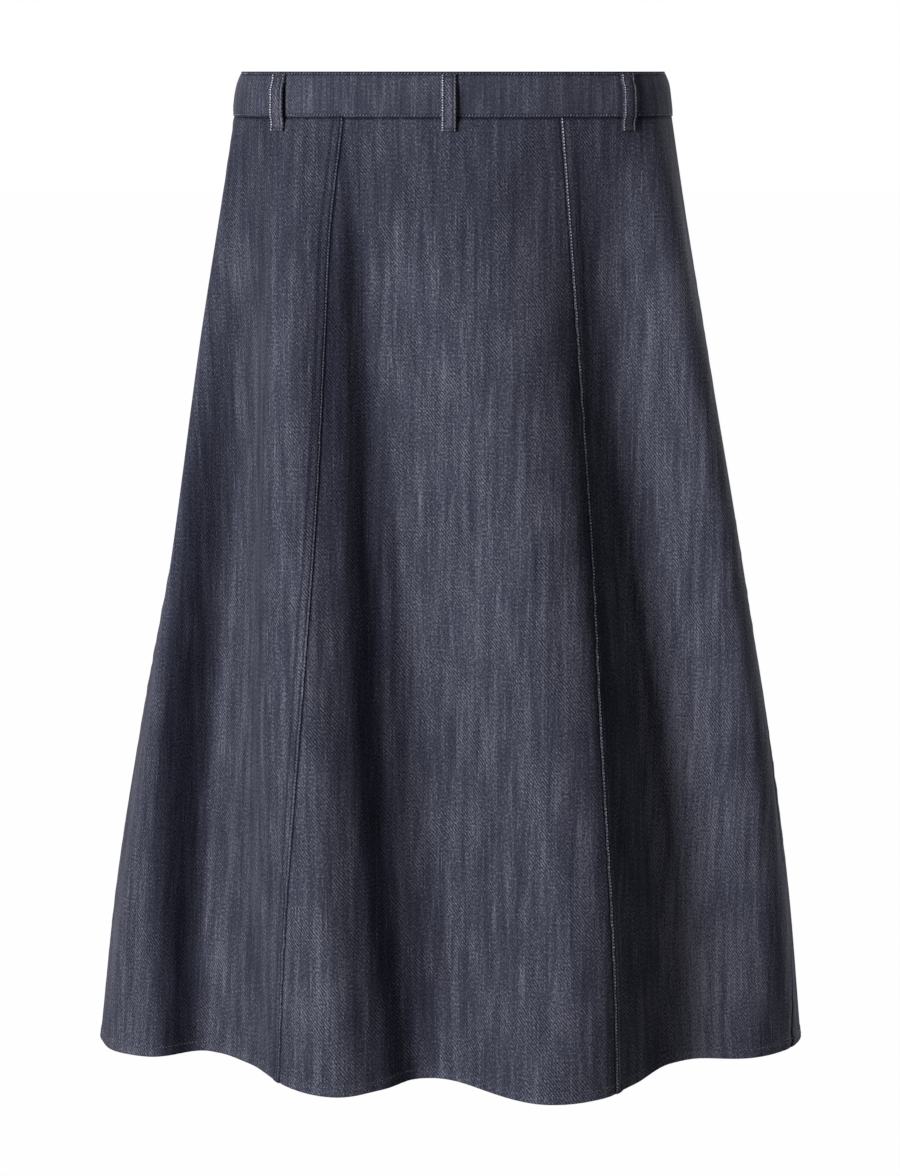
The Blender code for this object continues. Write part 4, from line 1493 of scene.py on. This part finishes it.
@dataclass
class Zip:
    """The concealed zip: tapes, coil, slider and pull tab."""

    wardrobe: Wardrobe
    band: Waistband
    top_drop: float = 15.3 * MM
    jog: float = 4 * MM
    foot_drop: float = 0.2115
    half_width: float = 11 * MM
    wall: float = 0.8 * MM
    layer: float = 1.5 * MM  # the gores' wall in front of the tape
    gap: float = 0.3 * MM
    coil_width: float = 4.4  # millimetres
    tab_round: float = 0.25 * MM

    def ring(self, drop: float) -> tuple[Ring, float, float]:
        """The cloth in front of the tape, the tape's offset behind it and the zip's turn."""
        if drop <= FORM.band_height:
            return self.band.ring(drop), -self.band.thickness - self.gap, ZIP_TURN
        return FORM.cloth(drop), -self.layer - self.gap, FORM.seam_turn(ZIP_SEAM, drop)

    def drops(self) -> Array:
        """The tapes' rows."""
        below = np.linspace(FORM.band_height + self.jog, self.foot_drop, 40)
        return np.concatenate([np.linspace(self.top_drop, FORM.band_height, 7), below])

    def tape_row(self, drop: float) -> Row:
        """One row of points of the tapes."""
        half = np.array([0, 2.2, 2.6, 3.2, 4, 6, 9, 10.7, 11]) * MM
        across = np.concatenate([-half[:0:-1], half])
        ring, behind, turn_middle = self.ring(drop)
        turn = ring.turn_at(float(ring.length_at(turn_middle)) + across)
        edge = 0.25 * MM * (np.abs(across) > 10.8 * MM)
        outer, inner = ring.place(turn, behind - edge), ring.place(turn, behind - self.wall + edge)
        return Row(outer, inner, on_cloth(across, drop, 0.0), np.zeros(len(across)))

    def tapes(self) -> Object:
        """Both tapes with the chain's bed between them, in place of their solid."""
        rows = [self.tape_row(drop) for drop in self.drops()]
        mesh = shell_mesh("zip_tapes", rows, self.wardrobe.tape, self.wardrobe.tape)
        tapes = dress("zip_tape_cloth", mesh, "zip_tapes")
        log.info("%s: two tapes", tapes.name)
        return tapes

    def coil(self) -> Object:
        """The closed coil's teeth, across the chain on its inside."""
        places = []
        for drop in self.drops():
            ring, behind, turn = self.ring(drop)
            places.append(ring.spot(turn, behind - self.wall - 0.55 * MM))
        size = (self.coil_width, 0.62, 1.3)
        teeth = Stitching("zip_coil", 0.75 * MM, size, slant=86, stray=0, seed=3, slot="zip_tape")
        return teeth.build([StitchPath.along(places)], self.wardrobe.tape)

    def slider(self) -> None:
        """Lacquer the slider."""
        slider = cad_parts["zip_slider"]
        slider.data.materials.clear()
        slider.data.materials.append(self.wardrobe.lacquer)

    def pull_tab(self) -> Object:
        """The tab with its stamped edges rounded over, in place of its solid."""
        shape = bmesh.new()
        shape.from_mesh(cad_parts["zip_pull_tab"].data)
        bmesh.ops.remove_doubles(shape, verts=shape.verts, dist=0.001 * MM)
        bmesh.ops.dissolve_limit(
            shape, angle_limit=math.radians(1), verts=shape.verts, edges=shape.edges
        )
        sharp = [edge for edge in shape.edges if edge.calc_face_angle(0.0) > math.radians(60)]
        bmesh.ops.bevel(
            shape, geom=sharp, offset=self.tab_round, offset_type="OFFSET", segments=3, profile=0.5,
            affect="EDGES",
        )
        mesh = bpy.data.meshes.new("zip_pull_tab_lacquered")
        shape.to_mesh(mesh)
        shape.free()
        mesh.shade_smooth()
        mesh.set_sharp_from_angle(angle=math.radians(40))
        mesh.materials.append(self.wardrobe.lacquer)
        tab = dress("zip_pull_tab_lacquered", mesh, "zip_pull_tab", PULL_TAB)
        log.info("%s: %d faces", tab.name, len(mesh.polygons))
        return tab

    def build(self) -> None:
        """Make the zip."""
        self.tapes()
        self.coil()
        self.slider()
        self.pull_tab()


# Studio ---------------------------------------------------------------------------------------


class Lamp(NamedTuple):
    """A soft square light that faces the middle of the skirt."""

    name: str
    heading: float  # degrees round the skirt from the middle of the back, as a turn
    away: float  # metres from the skirt's middle
    height: float  # of the light's middle
    size: float
    power: float  # watts


@dataclass(frozen=True)
class Studio:
    """A wide pale floor, white air, soft lights round the skirt and the camera."""

    distance: float = 2.8  # of the camera, in metres
    pitch: float = 8.076  # degrees that it looks down
    lens: float = 111.43  # millimetres on a sensor 36 wide
    aside: float = -0.0023
    floor: float = -1.05  # its height
    reach: float = 30.0  # of the floor on each side, in metres
    air: float = 0.04  # how much the white air lights the skirt
    lights: tuple[Lamp, ...] = (
        Lamp("key", -36.5, 3.4, 0.3, 1.3, 160.0),
        Lamp("fill", 60.0, 4.2, 0.2, 2.0, 20.0),
        Lamp("rim", 130.0, 2.8, 0.3, 1.4, 58.0),
        Lamp("back", 218.0, 4.0, 0.5, 1.9, 92.0),
    )

    def camera(self) -> None:
        """The camera, level with the waistband's top and looking a little down."""
        data = bpy.data.cameras.new("camera")
        data.lens = self.lens
        data.sensor_width = 36.0
        camera = bpy.data.objects.new("camera", data)
        camera.location = (self.aside, -self.distance, FORM.band_height / 2)
        camera.rotation_euler = (math.radians(90 - self.pitch), 0.0, 0.0)
        bpy.context.scene.collection.objects.link(camera)
        bpy.context.scene.camera = camera

    def ground(self) -> None:
        """The floor, out to where it meets the air."""
        signs = ((-1, -1), (1, -1), (1, 1), (-1, 1))
        corners = [(x * self.reach, y * self.reach, self.floor) for x, y in signs]
        mesh = bpy.data.meshes.new("studio_floor")
        mesh.from_pydata(corners, [], [range(4)])
        mesh.materials.append(StudioPaint().material())
        add_object("studio_floor", mesh)

    def surroundings(self) -> None:
        """White air that the camera sees at full strength and the skirt only faintly."""
        world = bpy.data.worlds.new("studio_air")
        world.use_nodes = True
        nodes = Nodes(world.node_tree)
        nodes.tree.nodes.clear()
        seen = nodes.value("ShaderNodeLightPath", output="Is Camera Ray")
        strength = {"Value": seen, "To Min": self.air, "To Max": 1.0}
        strength = nodes.value("ShaderNodeMapRange", strength)
        air = nodes.value("ShaderNodeBackground", {"Color": (1, 1, 1, 1), "Strength": strength})
        nodes.add("ShaderNodeOutputWorld", {0: air})
        bpy.context.scene.world = world

    def light(self, lamp: Lamp) -> None:
        """Set up one light, out of the camera's sight."""
        data = bpy.data.lights.new(lamp.name, "AREA")
        data.size = lamp.size
        data.energy = lamp.power
        stand = bpy.data.objects.new(lamp.name, data)
        heading = math.radians(lamp.heading)
        middle = -FORM.length / 2
        plan = (lamp.away * math.sin(heading), -lamp.away * math.cos(heading))
        stand.location = (*plan, lamp.height)
        stand.rotation_euler = (math.atan2(lamp.away, lamp.height - middle), 0.0, heading)
        stand.visible_camera = False
        bpy.context.scene.collection.objects.link(stand)

    def build(self) -> None:
        """Set the camera, floor, air and lights."""
        self.camera()
        self.ground()
        self.surroundings()
        for lamp in self.lights:
            self.light(lamp)
        bpy.context.scene.view_settings.view_transform = "Standard"
        log.info("studio: camera %.1f m away, %d lights", self.distance, len(self.lights))


# The whole skirt ------------------------------------------------------------------------------


def main() -> None:
    """Build the pieces in order."""
    logging.basicConfig(level=logging.INFO, format="%(message)s")
    wardrobe = Wardrobe.woven()
    gores = [
        Gore(name, number, *cut, wardrobe) for number, (name, cut) in enumerate(GORES.items())
    ]
    for gore in gores:
        gore.build()
    band = Waistband(wardrobe)
    band.build()
    loops = [
        BeltLoop(f"belt_loop_{place}", number, turn, wardrobe, band)
        for number, (place, turn) in enumerate(LOOP_TURNS.items())
    ]
    for loop in loops:
        loop.build()
    Sewing(wardrobe, band, gores[1], loops).build()
    Zip(wardrobe, band).build()
    Studio().build()


if __name__ == "__main__":
    main()
